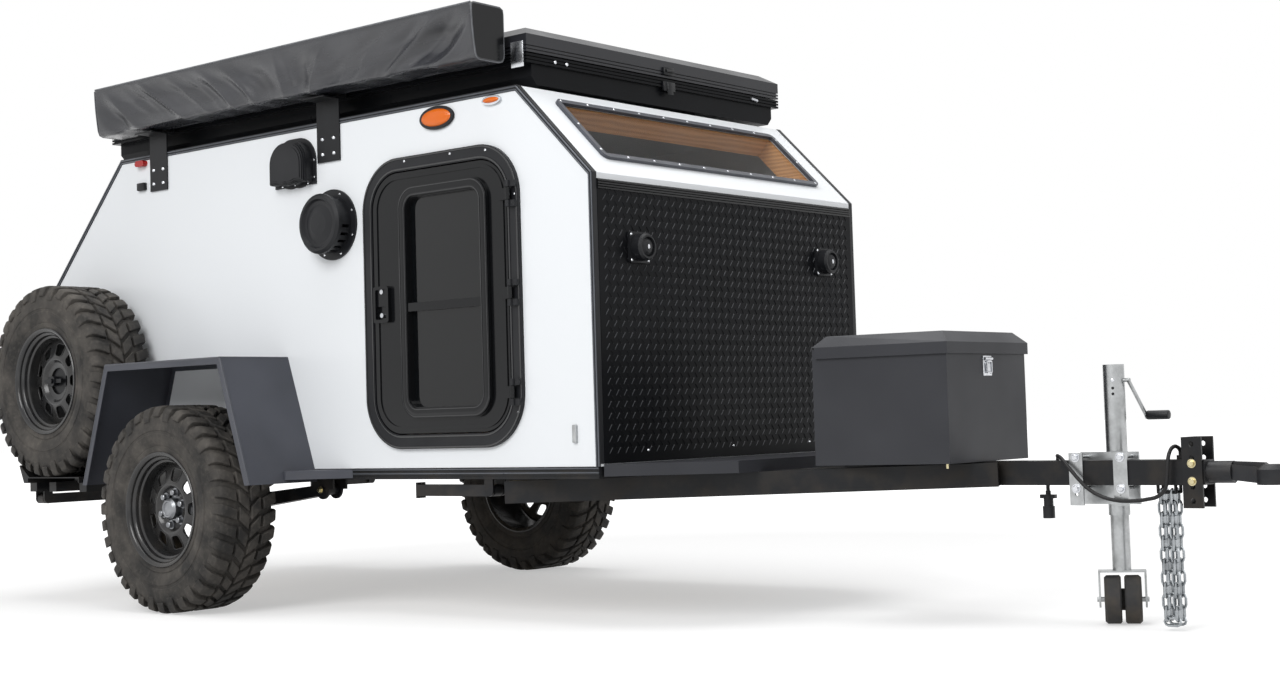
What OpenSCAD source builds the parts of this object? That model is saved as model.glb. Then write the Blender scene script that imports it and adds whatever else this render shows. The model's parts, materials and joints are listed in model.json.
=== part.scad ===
// Small off-road travel trailer with roof tent, side awning and front toolbox.
// Millimetres. +X points to the hitch, +Y to the left side, +Z up, ground at Z = 0.

/* [Cabin] */
// Width over the side walls
body_w = 1524; // [1400:1:1600]
// Front panel, ahead of the axle
body_front = 1936; // [1850:1:2050]
// Rear panel, behind the axle
body_back = 1250; // [1200:1:1350]
// Roof above the ground
roof_z = 1827; // [1780:1:1900]
// Top edge of the upright front panel
break_z = 1495; // [1440:1:1530]
// Lower edge of the rear slope
rear_corner_z = 1277; // [1200:1:1350]
// Front and rear slope, from the horizontal
slope_angle = 45; // [40:1:50]
// Thickness of the sandwich panels
wall_t = 38; // [25:1:45]
// Width of the edge mouldings
moulding_w = 18; // [14:1:32]
// Thickness of the edge mouldings
moulding_t = 2; // [1.5:0.1:3]
// Thickness of the ribbed bottom trim
bottom_trim_t = 12; // [8:1:14]
// Thickness of the stone guard sheet
guard_t = 3; // [2:0.5:4]
// Top edge of the stone guard
guard_top_z = 1475; // [1400:1:1480]

/* [Doors] */
// Rear edge of the door leaf, ahead of the axle
door_rear_x = 877; // [800:1:950]
// Length of the door leaf
door_l = 676; // [620:1:700]
// Lower edge of the door leaf
door_low_z = 653; // [620:1:700]
// Height of the door leaf
door_h = 935; // [850:1:960]
// Corner radius of the door leaf
door_r = 130; // [80:1:150]
// Thickness of the door leaf
door_t = 36; // [30:1:40]
// Width of the frame flange round the leaf
door_flange = 55; // [40:1:60]
// Height of the window opening
door_window_h = 748; // [600:1:780]
// Length of the window opening
door_window_l = 366; // [300:1:380]
// Lower edge of the window opening, above the leaf's edge
door_window_up = 92; // [70:1:110]

/* [Wheels] */
// Outer diameter of the tyres
tyre_d = 786; // [740:1:800]
// Width of the tyres
tyre_w = 265; // [235:1:280]
// Shoulder lugs on each side of a tyre
tyre_lugs = 24; // [12:1:28]
// Centre of the road tyres, outside the side wall
wheel_out = 208; // [190:1:230]
// Radius of the rim flange
rim_r = 218; // [200:1:230]
// Width over the rim flanges
rim_w = 248; // [200:1:250]
// Number of windows in the wheel disc
disc_windows = 10; // [6:1:12]
// Radius of the spindle
spindle_r = 20; // [16:1:24]

/* [Fenders] */
// Half length of the fender's flat top
fender_top_half = 365; // [340:1:400]
// Half length of the fender at its lower edge
fender_low_half = 525; // [500:1:540]
// Top of the fender
fender_top_z = 953; // [920:1:1000]
// Lower edge of the fender
fender_low_z = 483; // [470:1:520]
// Outer edge of the fender, outside the side wall
fender_out = 318; // [300:1:330]
// Sheet thickness of the fender
fender_t = 4; // [3:0.5:6]
// Depth of the rolled outer lip
fender_lip = 25; // [15:1:35]

/* [Chassis] */
// Top of the chassis, where the floor rests
chassis_top_z = 530; // [515:1:545]
// Height of the chassis tubes
chassis_h = 40; // [30:1:50]
// Width of the chassis tubes
chassis_w = 50; // [40:1:60]
// Rear end of the chassis, behind the axle
chassis_back = 1212; // [1190:1:1230]
// Height and width of the drawbar tubes
bar = 76; // [70:1:80]
// Wall of the drawbar tubes
bar_wall = 5; // [4:0.5:8]
// Upward slope of the drawbar rails
rail_rise = 0.9; // [0.5:0.1:1.2]
// Rear end of the drawbar rails, ahead of the axle
rail_rear_x = 1470; // [1440:1:1550]
// Front end of the drawbar rails, ahead of the axle
rail_front_x = 2990; // [2960:1:3050]
// Front end of the tongue, ahead of the axle
tongue_front_x = 3608; // [3560:1:3650]
// Rear end of the tongue, ahead of the axle
tongue_rear_x = 2400; // [2350:1:2450]

/* [Hitch] */
// Height of the hitch channel
channel_h = 211; // [190:1:230]
// Depth of the hitch channel's flanges
channel_d = 62; // [50:1:100]
// Thickness of the hitch channel
channel_t = 8; // [6:0.5:10]
// Reach of the coupler nose beyond the channel's web
coupler_reach = 307; // [290:1:330]
// Radius of the tow ball socket
socket_r = 25.9; // [25.5:0.1:31]
// Depth of the tow ball socket
socket_d = 28; // [22:1:34]

/* [Toolbox and deck] */
// Front face of the toolbox, ahead of the axle
box_front_x = 2940; // [2900:1:2980]
// Length of the toolbox
box_l = 465; // [440:1:520]
// Half width of the toolbox's front face
box_front_half = 252; // [230:1:270]
// Half width of the toolbox's rear face
box_rear_half = 316; // [300:1:350]
// Height of the toolbox body
box_h = 378; // [340:1:420]
// Sheet thickness of the toolbox
box_t = 4; // [3:0.5:6]
// Height of the lid's skirt
lid_skirt = 32; // [24:1:40]
// Height of the lid's bevel
lid_bevel = 36; // [30:1:50]
// Front end of the deck, ahead of the axle
deck_front_x = 2300; // [2250:1:2380]
// Thickness of the deck tray
deck_h = 40; // [30:1:45]

/* [Tent and awning] */
// Front end of the tent, ahead of the axle
tent_front_x = 1600; // [1550:1:1620]
// Length of the tent
tent_l = 2450; // [2300:1:2460]
// Middle of the tent, left of the middle of the trailer
tent_y = 30; // [20:1:40]
// Width of the tent over its flange
tent_w = 1470; // [1440:1:1480]
// Height of the tent base
tent_base_h = 104; // [90:1:120]
// Height of the tent lid
tent_lid_h = 102; // [92:1:140]
// Height of the tent's mounting rails
tent_rail_h = 15; // [12:1:20]
// Front end of the awning bag, ahead of the axle
awning_front_x = 1530; // [1450:1:1600]
// Length of the awning bag
awning_l = 2220; // [2100:1:2300]
// Depth of the awning bag
awning_d = 165; // [140:1:175]
// Underside of the awning bag
awning_low_z = 1908; // [1890:1:1920]
// Height of the awning bag
awning_h = 204; // [180:1:215]

/* [Spare wheel] */
// Centre of the spare wheel, behind the axle
spare_back = 835; // [830:1:950]
// Centre of the spare wheel, outside the side wall
spare_out = 168; // [153:1:183]
// Clear height of the cradle under the spare wheel
spare_low_z = 514; // [510:1:530]

/* [Jack and legs] */
// Jack post, behind the front end of the tongue
jack_back = 273; // [230:1:300]
// Jack post, left of the middle of the trailer
jack_y = 93; // [88:1:105]
// Outer radius of the jack tube
jack_r = 33; // [30:1:36]
// Top of the jack tube
jack_top_z = 806; // [790:1:830]
// Lower end of the jack tube
jack_low_z = 337; // [330:1:360]
// Diameter of the jack wheels
jack_wheel_d = 150; // [130:1:156]
// Width of each jack wheel
jack_wheel_w = 54; // [40:1:58]
// Travel of the jack leg
jack_travel = 140; // [100:1:145]
// Turn of the jack's caster from straight ahead
caster_turn = -64; // [-90:1:90]
// Length of the swing-down front legs
front_leg_l = 370; // [330:1:380]
// Length of the swing-down rear legs
rear_leg_l = 340; // [300:1:350]

/* [Hidden] */
$fn = 48;

// Clearances: between moving pieces, round a pin, and between a piece and its seat
move_gap = 5;
pin_gap = 0.3;
seat_gap = 0.2;

// Overall reach, and the axle's place with the origin under the middle of the whole trailer
tyre_r = tyre_d / 2;
hub_z = tyre_r;
nose_x = tongue_front_x + coupler_reach;
handle_out = 30;
tail_x = -max(body_back + handle_out, spare_back + tyre_r);
axle_x = -(nose_x + tail_x) / 2;

// Cabin outline
half_w = body_w / 2;
inner_w = half_w - wall_t;
wall_low_z = chassis_top_z;
roof_front = body_front - (roof_z - break_z) / tan(slope_angle);
roof_back = -body_back + (roof_z - rear_corner_z) / tan(slope_angle);
mitre_low = tan((90 - slope_angle) / 2);
mitre_high = tan(slope_angle / 2);
function body_outline(inset, low = wall_low_z) = [
  [body_front - inset, low],
  [body_front - inset, break_z - inset * mitre_low],
  [roof_front - inset * mitre_high, roof_z - inset],
  [roof_back + inset * mitre_high, roof_z - inset],
  [-body_back + inset, rear_corner_z - inset * mitre_low],
  [-body_back + inset, low]
];

// Places outside the side walls
wheel_y = half_w + wheel_out;
fender_y = half_w + fender_out;
spare_y = half_w + spare_out;

// Hinges: knuckle and pin radius, overall length, end and middle knuckles, leaf
hinge_r = 9;
hinge_pin_r = 4;
hinge_l = 90;
hinge_end = 22;
hinge_mid = hinge_l - 2 * hinge_end - 6;
hinge_leaf = 30;

// Rear hatch: its header strip on the slope, its lower edge and its hinge
hatch_start = 80;
hatch_low_z = 695;
hatch_x = roof_back - hatch_start * cos(slope_angle);
hatch_z = roof_z - hatch_start * sin(slope_angle);
hatch_pin_out = hinge_r + move_gap;
hatch_hinges = [-0.7, 0, 0.7];

// Doors
door_flange_t = 14;
door_sunk = 2;
door_y = half_w + door_flange_t - door_sunk;
door_throat = 12;
door_hole = move_gap + door_throat;
door_hinge_x = door_rear_x + door_l + move_gap + hinge_r + 8;
door_hinge_y = half_w + door_flange_t + hinge_r + move_gap;
door_knuckle = 40;
door_bead = 12;
door_bead_t = 4;
hinge_heights = [0.14, 0.5, 0.86];
door_rail_up = 448;
door_rail_h = 30;
door_trim = 42;
door_trim_t = 10;
glass_t = 5;

// Drawbar levels
chassis_low_z = chassis_top_z - chassis_h;
chassis_y = half_w - 10;
chassis_front = body_front - 6;
rail_rear_y = chassis_y - bar / 2;
rail_turn = atan2(rail_rear_y - bar / 2, rail_front_x - rail_rear_x);
function rail_top(x) = chassis_low_z - seat_gap + (x - body_front) / cos(rail_turn) * tan(rail_rise);
tongue_top_z = rail_top(rail_front_x) + 3;
tongue_low_z = tongue_top_z - bar;
tongue_mid_z = tongue_top_z - bar / 2;
deck_low_z = rail_top(deck_front_x) + seat_gap;
deck_top_z = deck_low_z + deck_h;

// Toolbox
box_low_z = max(tongue_top_z, rail_top(box_front_x)) + seat_gap;
box_top_z = box_low_z + box_h;
box_rear_x = box_front_x - box_l;
lid_hinge_x = box_rear_x - hinge_r - 1;
lid_hinge_z = box_top_z + 3;
lid_play = move_gap;
lid_hinges = [-0.6, 0.6];

// Tent
tent_base_z = roof_z + moulding_t + tent_rail_h;
tent_split_z = tent_base_z + tent_base_h;
tent_top_z = tent_split_z + tent_lid_h;
tent_back_x = tent_front_x - tent_l;
tent_half = tent_w / 2;
tent_in = 35;
tent_wall = 12;
tent_low_half = tent_half - tent_in - 25;
rib_count = 3;
rib_h = 8;
rib_gap = 4;
rib_in = 6;
ribs_h = rib_count * (rib_h + rib_gap) - rib_gap;
tent_hinge_x = tent_back_x - hinge_r - move_gap;
tent_hinge_z = tent_split_z + move_gap / 2;
tent_hinges = [-0.7, 0, 0.7];
rail_end = 200;

// Wheels
bead_r = rim_r - 12;
rim_half = rim_w / 2;
flange_t = 6;
disc_y = 48;
disc_t = 8;
disc_dish = 18;
disc_bore = 55;
hub_r = 40;

// Suspension and legs
arm_pivot_x = 550;
arm_pivot_z = chassis_low_z - 38;
arm_y = chassis_y - chassis_w / 2;
arm_w = 50;
arm_h = 60;
arm_bolt_r = 12;
spring_x = 120;
spring_r = 24;
outrigger_w = 50;
outrigger_h = 40;
leg_tube = 40;
rear_leg_x = -chassis_back + 122;
rear_leg_y = half_w + 138;
front_leg_x = rail_rear_x - 50;
front_leg_y = half_w - 35;
front_leg_z = chassis_low_z - 40;
rear_leg_z = chassis_low_z - outrigger_h - 32;

// Safety chains: wire and bend radius, pitch, overlap of touching links, and the staples that hold them
chain_wire = 4.5;
chain_bend = 11;
chain_pitch = 35;
chain_links = 11;
chain_sides = 6;
chain_bends = 8;
chain_weld = 0.4;
chain_x = tongue_front_x - 63;
chain_half = chain_bend + chain_wire + 1.5;
chain_y = chain_half + 1;
staple_r = 5;
staple_h = 22;
staple_half = chain_half + chain_bend;

// Wiring cord: hand-picked route, from the gland on the tongue to the hanging plug
cord_d = 12;
cord_sides = 8;
cord_route = [
  [3585, 0, 524], [3585, -2, 538], [3582, -16, 549], [3578, -36, 549], [3574, -54, 533], [3571, -62, 505],
  [3567, -64, 460], [3560, -65, 425], [3540, -66, 405], [3500, -66, 394], [3450, -66, 389],
  [3400, -66, 391], [3350, -66, 404], [3310, -66, 427], [3280, -65, 455], [3255, -63, 482],
  [3232, -58, 506], [3212, -46, 521], [3195, -28, 525], [3180, -5, 525], [3168, 20, 525],
  [3156, 44, 518], [3145, 58, 497], [3129, 62, 468], [3114, 62, 444], [3108, 62, 428], [3108, 62, 413]
];
gland_x = cord_route[0][0];
gland_h = cord_route[0][2] - tongue_top_z - seat_gap;

// Every piece is drawn with the axle at X = 0 and then moved to the common origin
module at_axle() translate([axle_x, 0, 0]) children();

// A block between two opposite corners
module block(low, high) translate(low) cube(high - low);

// The shape drawn for the right side (-Y), on the right (side = -1) or on the left (side = 1)
module on_side(side) mirror([0, side > 0 ? 1 : 0, 0]) children();

// A flat shape drawn in X and Z, given a thickness from y0 to y1
module across(y0, y1) translate([0, y1, 0]) rotate([90, 0, 0]) linear_extrude(y1 - y0) children();

// A rectangle with sharp lower corners and round upper ones
module arch(l, h, r) {
  square([l, h - r]);
  translate([r, 0]) square([l - 2 * r, h]);
  for (x = [r, l - r]) translate([x, h - r]) circle(r);
}

// A rectangle with round corners, from its lower corner
module soft_rect(l, h, r) {
  translate([r, 0]) square([l - 2 * r, h]);
  translate([0, r]) square([l, h - 2 * r]);
  for (x = [r, l - r], y = [r, h - r]) translate([x, y]) circle(r);
}

// The strip between two insets of the cabin's outline
module outline_strip(outer, inner, low) {
  difference() {
    polygon(body_outline(outer, low));
    polygon(body_outline(inner, low - 1));
  }
}

// One cabin panel: the wall thickness between two neighbouring corners of the outline
module panel(i) {
  outer = body_outline(0);
  inner = body_outline(wall_t);
  across(-inner_w, inner_w) polygon([outer[i], outer[i + 1], inner[i + 1], inner[i]]);
}

// Work plane in the middle of the front slope, its Z pointing out of the panel
module on_front_slope() {
  translate([(body_front + roof_front) / 2, 0, (break_z + roof_z) / 2])
    rotate([0, 90 - slope_angle, 0])
      children();
}

// Work plane at the hatch's upper edge, its X pointing up the slope and its Z out of the panel
module on_rear_slope() translate([hatch_x, 0, hatch_z]) rotate([0, slope_angle - 90, 0]) children();

// Hinge along Y: the pin with its two outer knuckles, or the middle knuckle bored for the pin
module outer_knuckles() {
  rotate([90, 0, 0]) cylinder(r = hinge_pin_r, h = hinge_l, center = true);
  for (end = [-1, 1]) translate([0, end * (hinge_l - hinge_end) / 2, 0])
    rotate([90, 0, 0]) cylinder(r = hinge_r, h = hinge_end, center = true);
}
module middle_knuckle() rotate([90, 0, 0]) cylinder(r = hinge_r, h = hinge_mid, center = true);
module pin_bore() rotate([90, 0, 0]) cylinder(r = hinge_pin_r + pin_gap, h = hinge_l + 2, center = true);

// Wheel frame: Z along the axle, pointing outboard
module wheel_frame(x, y, z, side) translate([x, side * y, z]) rotate([-90 * side, 0, 0]) children();

// Chassis
cross_x = [-700, -150, 420, 1000, 1500];
module chassis() color("#1c1c1e") at_axle() {
  for (side = [-1, 1]) on_side(side)
    block([-chassis_back, -chassis_y, chassis_low_z], [chassis_front, -chassis_y + chassis_w, chassis_top_z]);
  for (x = concat([-chassis_back], cross_x, [chassis_front - chassis_w]))
    block([x, -chassis_y + chassis_w + seat_gap, chassis_low_z],
      [x + chassis_w, chassis_y - chassis_w - seat_gap, chassis_top_z]);
}

// A-frame rails, centre tongue and the wiring gland
module rail(side) on_side(side) {
  rail_l = (rail_front_x - rail_rear_x) / cos(rail_turn) / cos(rail_rise);
  translate([rail_rear_x, -rail_rear_y, rail_top(rail_rear_x) - bar])
    rotate([0, 0, rail_turn]) rotate([0, -rail_rise, 0])
      translate([0, -bar / 2, 0]) difference() {
        cube([rail_l, bar, bar]);
        translate([-1, bar_wall, bar_wall]) cube([rail_l / 3, bar - 2 * bar_wall, bar - 2 * bar_wall]);
      }
}
module drawbar() color("#1c1c1e") at_axle() {
  difference() {
    for (side = [-1, 1]) rail(side);
    block([tongue_rear_x - 1, -bar / 2 - seat_gap, 0], [nose_x, bar / 2 + seat_gap, roof_z]);
  }
  difference() {
    block([tongue_rear_x, -bar / 2, tongue_low_z], [tongue_front_x, bar / 2, tongue_top_z]);
    block([tongue_rear_x - 1, -bar / 2 + bar_wall, tongue_low_z + bar_wall],
      [rail_front_x, bar / 2 - bar_wall, tongue_top_z - bar_wall]);
  }
  translate([gland_x, 0, tongue_top_z]) cylinder(r = cord_d, h = gland_h);
  for (y = [-1, 1] * chain_y) translate([chain_x, y, tongue_low_z]) {
    for (x = [-1, 1] * staple_half) translate([x, 0, -staple_h]) cylinder(r = staple_r, h = staple_h + 1);
    translate([-staple_half, 0, -staple_h]) rotate([0, 90, 0]) cylinder(r = staple_r, h = 2 * staple_half);
    for (x = [-1, 1] * staple_half) translate([x, 0, -staple_h]) sphere(staple_r);
  }
}

// Upright channel with free holes for setting the coupler's height
module hitch_channel() color("#1a1a1c") at_axle() {
  hole_r = 8;
  flange_in = bar / 2 + 1;
  low = tongue_mid_z - channel_h / 2;
  difference() {
    block([tongue_front_x, -flange_in - channel_t, low],
      [tongue_front_x + channel_d, flange_in + channel_t, low + channel_h]);
    block([tongue_front_x + channel_t, -flange_in, low - 1],
      [tongue_front_x + channel_d + 1, flange_in, low + channel_h + 1]);
    for (i = [0:4]) if (i != 2)
      translate([tongue_front_x + channel_d / 2, 0, low + channel_h * (i + 0.5) / 5])
        rotate([90, 0, 0]) cylinder(r = hole_r, h = channel_d * 3, center = true);
  }
}

// Ball coupler: shank between the channel's flanges, round collar, tapered neck, socket head and latch lever
coupler_x = nose_x - 48;
coupler_head_r = 48;
collar_r = 33;
collar_l = 80;
neck_half = 23;
lever_w = 24;
lever_h = 9;
module coupler() color("#2a2a2c") at_axle() {
  shank = bar - 2;
  neck_x = tongue_front_x + channel_d + collar_l;
  head_low = tongue_mid_z - shank / 2;
  head_h = shank * 0.6;
  difference() {
    union() {
      block([tongue_front_x + channel_t, -shank / 2, head_low],
        [tongue_front_x + channel_d + 4, shank / 2, head_low + shank]);
      translate([tongue_front_x + channel_d, 0, tongue_mid_z]) rotate([0, 90, 0])
        cylinder(r = collar_r, h = collar_l);
      across(-neck_half, neck_half) polygon([
        [neck_x - 1, tongue_mid_z + neck_half], [coupler_x, tongue_mid_z + neck_half / 2],
        [coupler_x, head_low], [neck_x - 1, tongue_mid_z - neck_half]]);
      translate([coupler_x, 0, head_low]) cylinder(r = coupler_head_r, h = head_h);
      translate([coupler_x, 0, head_low + head_h])
        cylinder(r1 = coupler_head_r, r2 = coupler_head_r * 0.6, h = shank * 0.2);
      across(-lever_w / 2, lever_w / 2) polygon([
        [neck_x - 2 * lever_h, tongue_mid_z], [neck_x - 2 * lever_h, tongue_mid_z + neck_half + lever_h],
        [coupler_x - lever_w, tongue_mid_z + neck_half + lever_h / 2], [coupler_x, head_low + head_h]]);
    }
    translate([coupler_x, 0, head_low - 1]) cylinder(r = socket_r, h = socket_d + 1);
  }
}

// Trailing arms on their pivot brackets, rubber springs and wheel spindles
module suspension() color("#232325") at_axle() for (side = [-1, 1]) on_side(side) {
  arm_in = -arm_y + arm_w / 2;
  arm_out = -arm_y - arm_w / 2;
  across(arm_out, arm_in) {
    translate([0, hub_z]) circle(arm_h / 2);
    polygon([[0, hub_z + arm_h / 2], [0, hub_z - arm_h / 2],
      [arm_pivot_x, arm_pivot_z - arm_h / 3], [arm_pivot_x, arm_pivot_z + arm_h / 3]]);
    translate([arm_pivot_x, arm_pivot_z]) circle(arm_h / 3);
  }
  for (y = [arm_out - 10, arm_in + 2])
    across(y, y + 8) {
      translate([arm_pivot_x - arm_h, arm_pivot_z]) square([2 * arm_h, chassis_low_z - arm_pivot_z - seat_gap]);
      translate([arm_pivot_x, arm_pivot_z]) circle(0.6 * arm_h);
    }
  translate([arm_pivot_x, -arm_y, arm_pivot_z]) rotate([90, 0, 0])
    cylinder(r = arm_bolt_r, h = arm_w + 3 * arm_bolt_r, center = true);
  spring_z = hub_z + arm_h / 3;
  translate([spring_x, -arm_y, spring_z]) cylinder(r = spring_r, h = chassis_low_z - spring_z - seat_gap);
  wheel_frame(0, wheel_y, hub_z, -1)
    translate([0, 0, -(wheel_y - arm_y)]) cylinder(r = spindle_r, h = wheel_y - arm_y + disc_y);
}

// Cabin floor, walls and panels
module floor() color("#b9b7b0") at_axle()
  block([-body_back + wall_t, -inner_w, chassis_top_z], [body_front - wall_t, inner_w, chassis_top_z + wall_t]);

module door_cut() {
  translate([door_rear_x - door_hole, door_low_z - door_hole])
    soft_rect(door_l + 2 * door_hole, door_h + 2 * door_hole, door_r + door_hole);
}

module wall(side) color("#eef0f1") at_axle() on_side(side) across(-half_w, -inner_w) difference() {
  polygon(body_outline(0));
  door_cut();
}

module front_panel() color("#eef0f1") at_axle() panel(0);

module stone_guard() color("#1b1c1e") at_axle() {
  guard_half = half_w - moulding_w - 1;
  block([body_front, -guard_half, deck_top_z + 2], [body_front + guard_t, guard_half, guard_top_z]);
}

window_l = 296;
window_side = 142;
window_w = body_w - 2 * window_side;
window_up = -11;
window_lap = 12;
window_cover = 8;
window_r = 14;
module window_shape(grow) {
  translate([window_up - window_l / 2 - grow, -window_w / 2 - grow])
    soft_rect(window_l + 2 * grow, window_w + 2 * grow, window_r + grow);
}
module front_slope() color("#eef0f1") at_axle() difference() {
  panel(1);
  on_front_slope() translate([0, 0, -2 * wall_t]) linear_extrude(3 * wall_t) window_shape(0);
}
module slope_window_frame() color("#18181a") at_axle() on_front_slope() linear_extrude(12) difference() {
  window_shape(window_lap);
  window_shape(-window_cover);
}
module slope_window_glass() color("#3a4650") at_axle() on_front_slope()
  translate([0, 0, -glass_t]) linear_extrude(glass_t) window_shape(-seat_gap);

module roof() color("#eef0f1") at_axle() {
  panel(2);
  outer = body_outline(0);
  inner = body_outline(wall_t);
  back = [hatch_x, hatch_z];
  depth = wall_t * [sin(slope_angle), -cos(slope_angle)];
  across(-inner_w, inner_w) polygon([outer[3], back, back + depth, inner[3]]);
  on_rear_slope() for (y = hatch_hinges * inner_w) translate([0, y, 0]) {
    translate([0, 0, hatch_pin_out]) outer_knuckles();
    for (end = [-1, 1]) translate([0, end * (hinge_l - hinge_end) / 2 - hinge_end / 2, -1])
      cube([hinge_leaf, hinge_end, hatch_pin_out + 1]);
  }
}

module rear_panel() color("#eef0f1") at_axle()
  block([-body_back, -inner_w, wall_low_z], [-body_back + wall_t, inner_w, hatch_low_z - move_gap]);

// Rear hatch between the side walls: slope and upright part, hinge barrel and two turn handles
handle_l = 120;
handle_h = 40;
handle_post = 14;
module hatch() color("#eef0f1") at_axle() {
  along = [-cos(slope_angle), -sin(slope_angle)];
  depth = wall_t * [sin(slope_angle), -cos(slope_angle)];
  outer = body_outline(0);
  inner = body_outline(wall_t);
  top = [hatch_x, hatch_z] + move_gap * along;
  leaf_w = inner_w - move_gap;
  across(-leaf_w, leaf_w)
    polygon([top, outer[4], [-body_back, hatch_low_z], [-body_back + wall_t, hatch_low_z], inner[4],
      top + depth]);
  for (y = [-0.6, 0.6] * leaf_w)
    translate([-body_back - handle_out, y - handle_l / 2, hatch_low_z + handle_l / 2]) difference() {
      cube([handle_out, handle_l, handle_h]);
      translate([-1, handle_post, -1]) cube([handle_out * 0.6 + 1, handle_l - 2 * handle_post, handle_h + 2]);
    }
  on_rear_slope() for (y = hatch_hinges * inner_w) translate([0, y, 0]) difference() {
    union() {
      translate([0, 0, hatch_pin_out]) middle_knuckle();
      translate([-hinge_leaf - move_gap, -hinge_mid / 2, -1]) cube([hinge_leaf, hinge_mid, hatch_pin_out + 1]);
    }
    translate([0, 0, hatch_pin_out]) pin_bore();
  }
}

// Edge mouldings along both sides of the outline, on the wall and on the panel
module edge_mouldings() color("#4a4d52") at_axle() for (side = [-1, 1]) on_side(side) {
  across(-half_w - moulding_t, -half_w) outline_strip(-moulding_t, moulding_w, wall_low_z);
  across(-half_w, -half_w + moulding_w) outline_strip(-moulding_t, 0, deck_top_z + 2);
}

module bottom_trim() color("#202124") at_axle() for (side = [-1, 1]) on_side(side) {
  grooves = 3;
  depth = 3;
  face_y = -chassis_y - bottom_trim_t;
  difference() {
    block([-chassis_back, face_y, chassis_low_z], [chassis_front, -chassis_y, wall_low_z]);
    for (i = [1:grooves])
      translate([-chassis_back - 1, face_y - 1, chassis_low_z + chassis_h * i / (grooves + 1) - 2])
        cube([chassis_back + body_front, depth + 1, 4]);
  }
}

// Door frame: flange on the wall, throat in the wall, and the hinge pins
module door_outline(grow) {
  translate([door_rear_x - grow, door_low_z - grow])
    soft_rect(door_l + 2 * grow, door_h + 2 * grow, door_r + grow);
}
module door_frame(side) color("#1a1b1d") at_axle() on_side(side) {
  across(-half_w - door_flange_t, -half_w) difference() {
    door_outline(door_flange);
    door_outline(move_gap);
  }
  across(-half_w, -inner_w) difference() {
    door_outline(door_hole - seat_gap);
    door_outline(move_gap);
  }
  for (h = hinge_heights) translate([door_hinge_x, -door_hinge_y, door_low_z + door_h * h]) {
    translate([0, 0, -hinge_l / 2]) cylinder(r = hinge_pin_r, h = hinge_l);
    for (end = [-1, 1]) translate([0, 0, end * (hinge_l - hinge_end) / 2 - hinge_end / 2]) {
      cylinder(r = hinge_r, h = hinge_end);
      cube([hinge_leaf, door_hinge_y - half_w - door_flange_t, hinge_end]);
    }
  }
}

// Door leaf with raised window trim, divider rail, paddle handle and hinge knuckles
door_arm = 45;
paddle_in = 8;
paddle_up = 400;
paddle_l = 80;
paddle_h = 132;
paddle_rim = 12;
paddle_t = 16;
module door_window(grow) {
  translate([door_rear_x + (door_l - door_window_l) * 0.6 - grow, door_low_z + door_window_up - grow])
    soft_rect(door_window_l + 2 * grow, door_window_h + 2 * grow, 40 + grow);
}
module door(side) color("#1d1e20") at_axle() on_side(side) {
  difference() {
    union() {
      across(-door_y, -door_y + door_t) door_outline(0);
      across(-door_y - door_trim_t, -door_y) door_window(door_trim);
      across(-door_y - door_bead_t, -door_y) difference() {
        door_outline(-door_bead);
        door_outline(-2 * door_bead);
      }
    }
    across(-door_y - 20, -door_y + door_t + 1) difference() {
      door_window(0);
      translate([door_rear_x, door_low_z + door_rail_up - door_rail_h / 2]) square([door_l, door_rail_h]);
    }
  }
  translate([door_rear_x + paddle_in, -door_y, door_low_z + paddle_up]) {
    across(-paddle_t, 0) difference() {
      soft_rect(paddle_l, paddle_h, paddle_rim);
      translate([paddle_rim, paddle_rim])
        soft_rect(paddle_l - 2 * paddle_rim, paddle_h - 2 * paddle_rim, paddle_rim / 2);
    }
    across(-paddle_t / 2, 0) translate([paddle_rim, paddle_h * 0.45])
      square([paddle_l - 2 * paddle_rim, paddle_h * 0.55 - paddle_rim]);
  }
  for (h = hinge_heights) translate([door_hinge_x, -door_hinge_y, door_low_z + door_h * h - door_knuckle / 2])
    difference() {
      union() {
        cylinder(r = hinge_r, h = door_knuckle);
        block([-door_arm, 0, 0], [0, hinge_r - 1, door_knuckle]);
        block([-door_arm, 0, 0], [-door_arm / 2, door_hinge_y - door_y + 1, door_knuckle]);
      }
      translate([0, 0, -1]) cylinder(r = hinge_pin_r + pin_gap, h = door_knuckle + 2);
    }
}
module door_glass(side) color("#28313a") at_axle() on_side(side)
  for (part = [0, 1]) across(-door_y + 12, -door_y + 12 + glass_t) intersection() {
    door_window(-seat_gap);
    rail_z = door_low_z + door_rail_up + (part == 0 ? -door_rail_h / 2 - seat_gap : door_rail_h / 2 + seat_gap);
    translate([door_rear_x, part == 0 ? rail_z - door_h : rail_z]) square([door_l, door_h]);
  }

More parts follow.
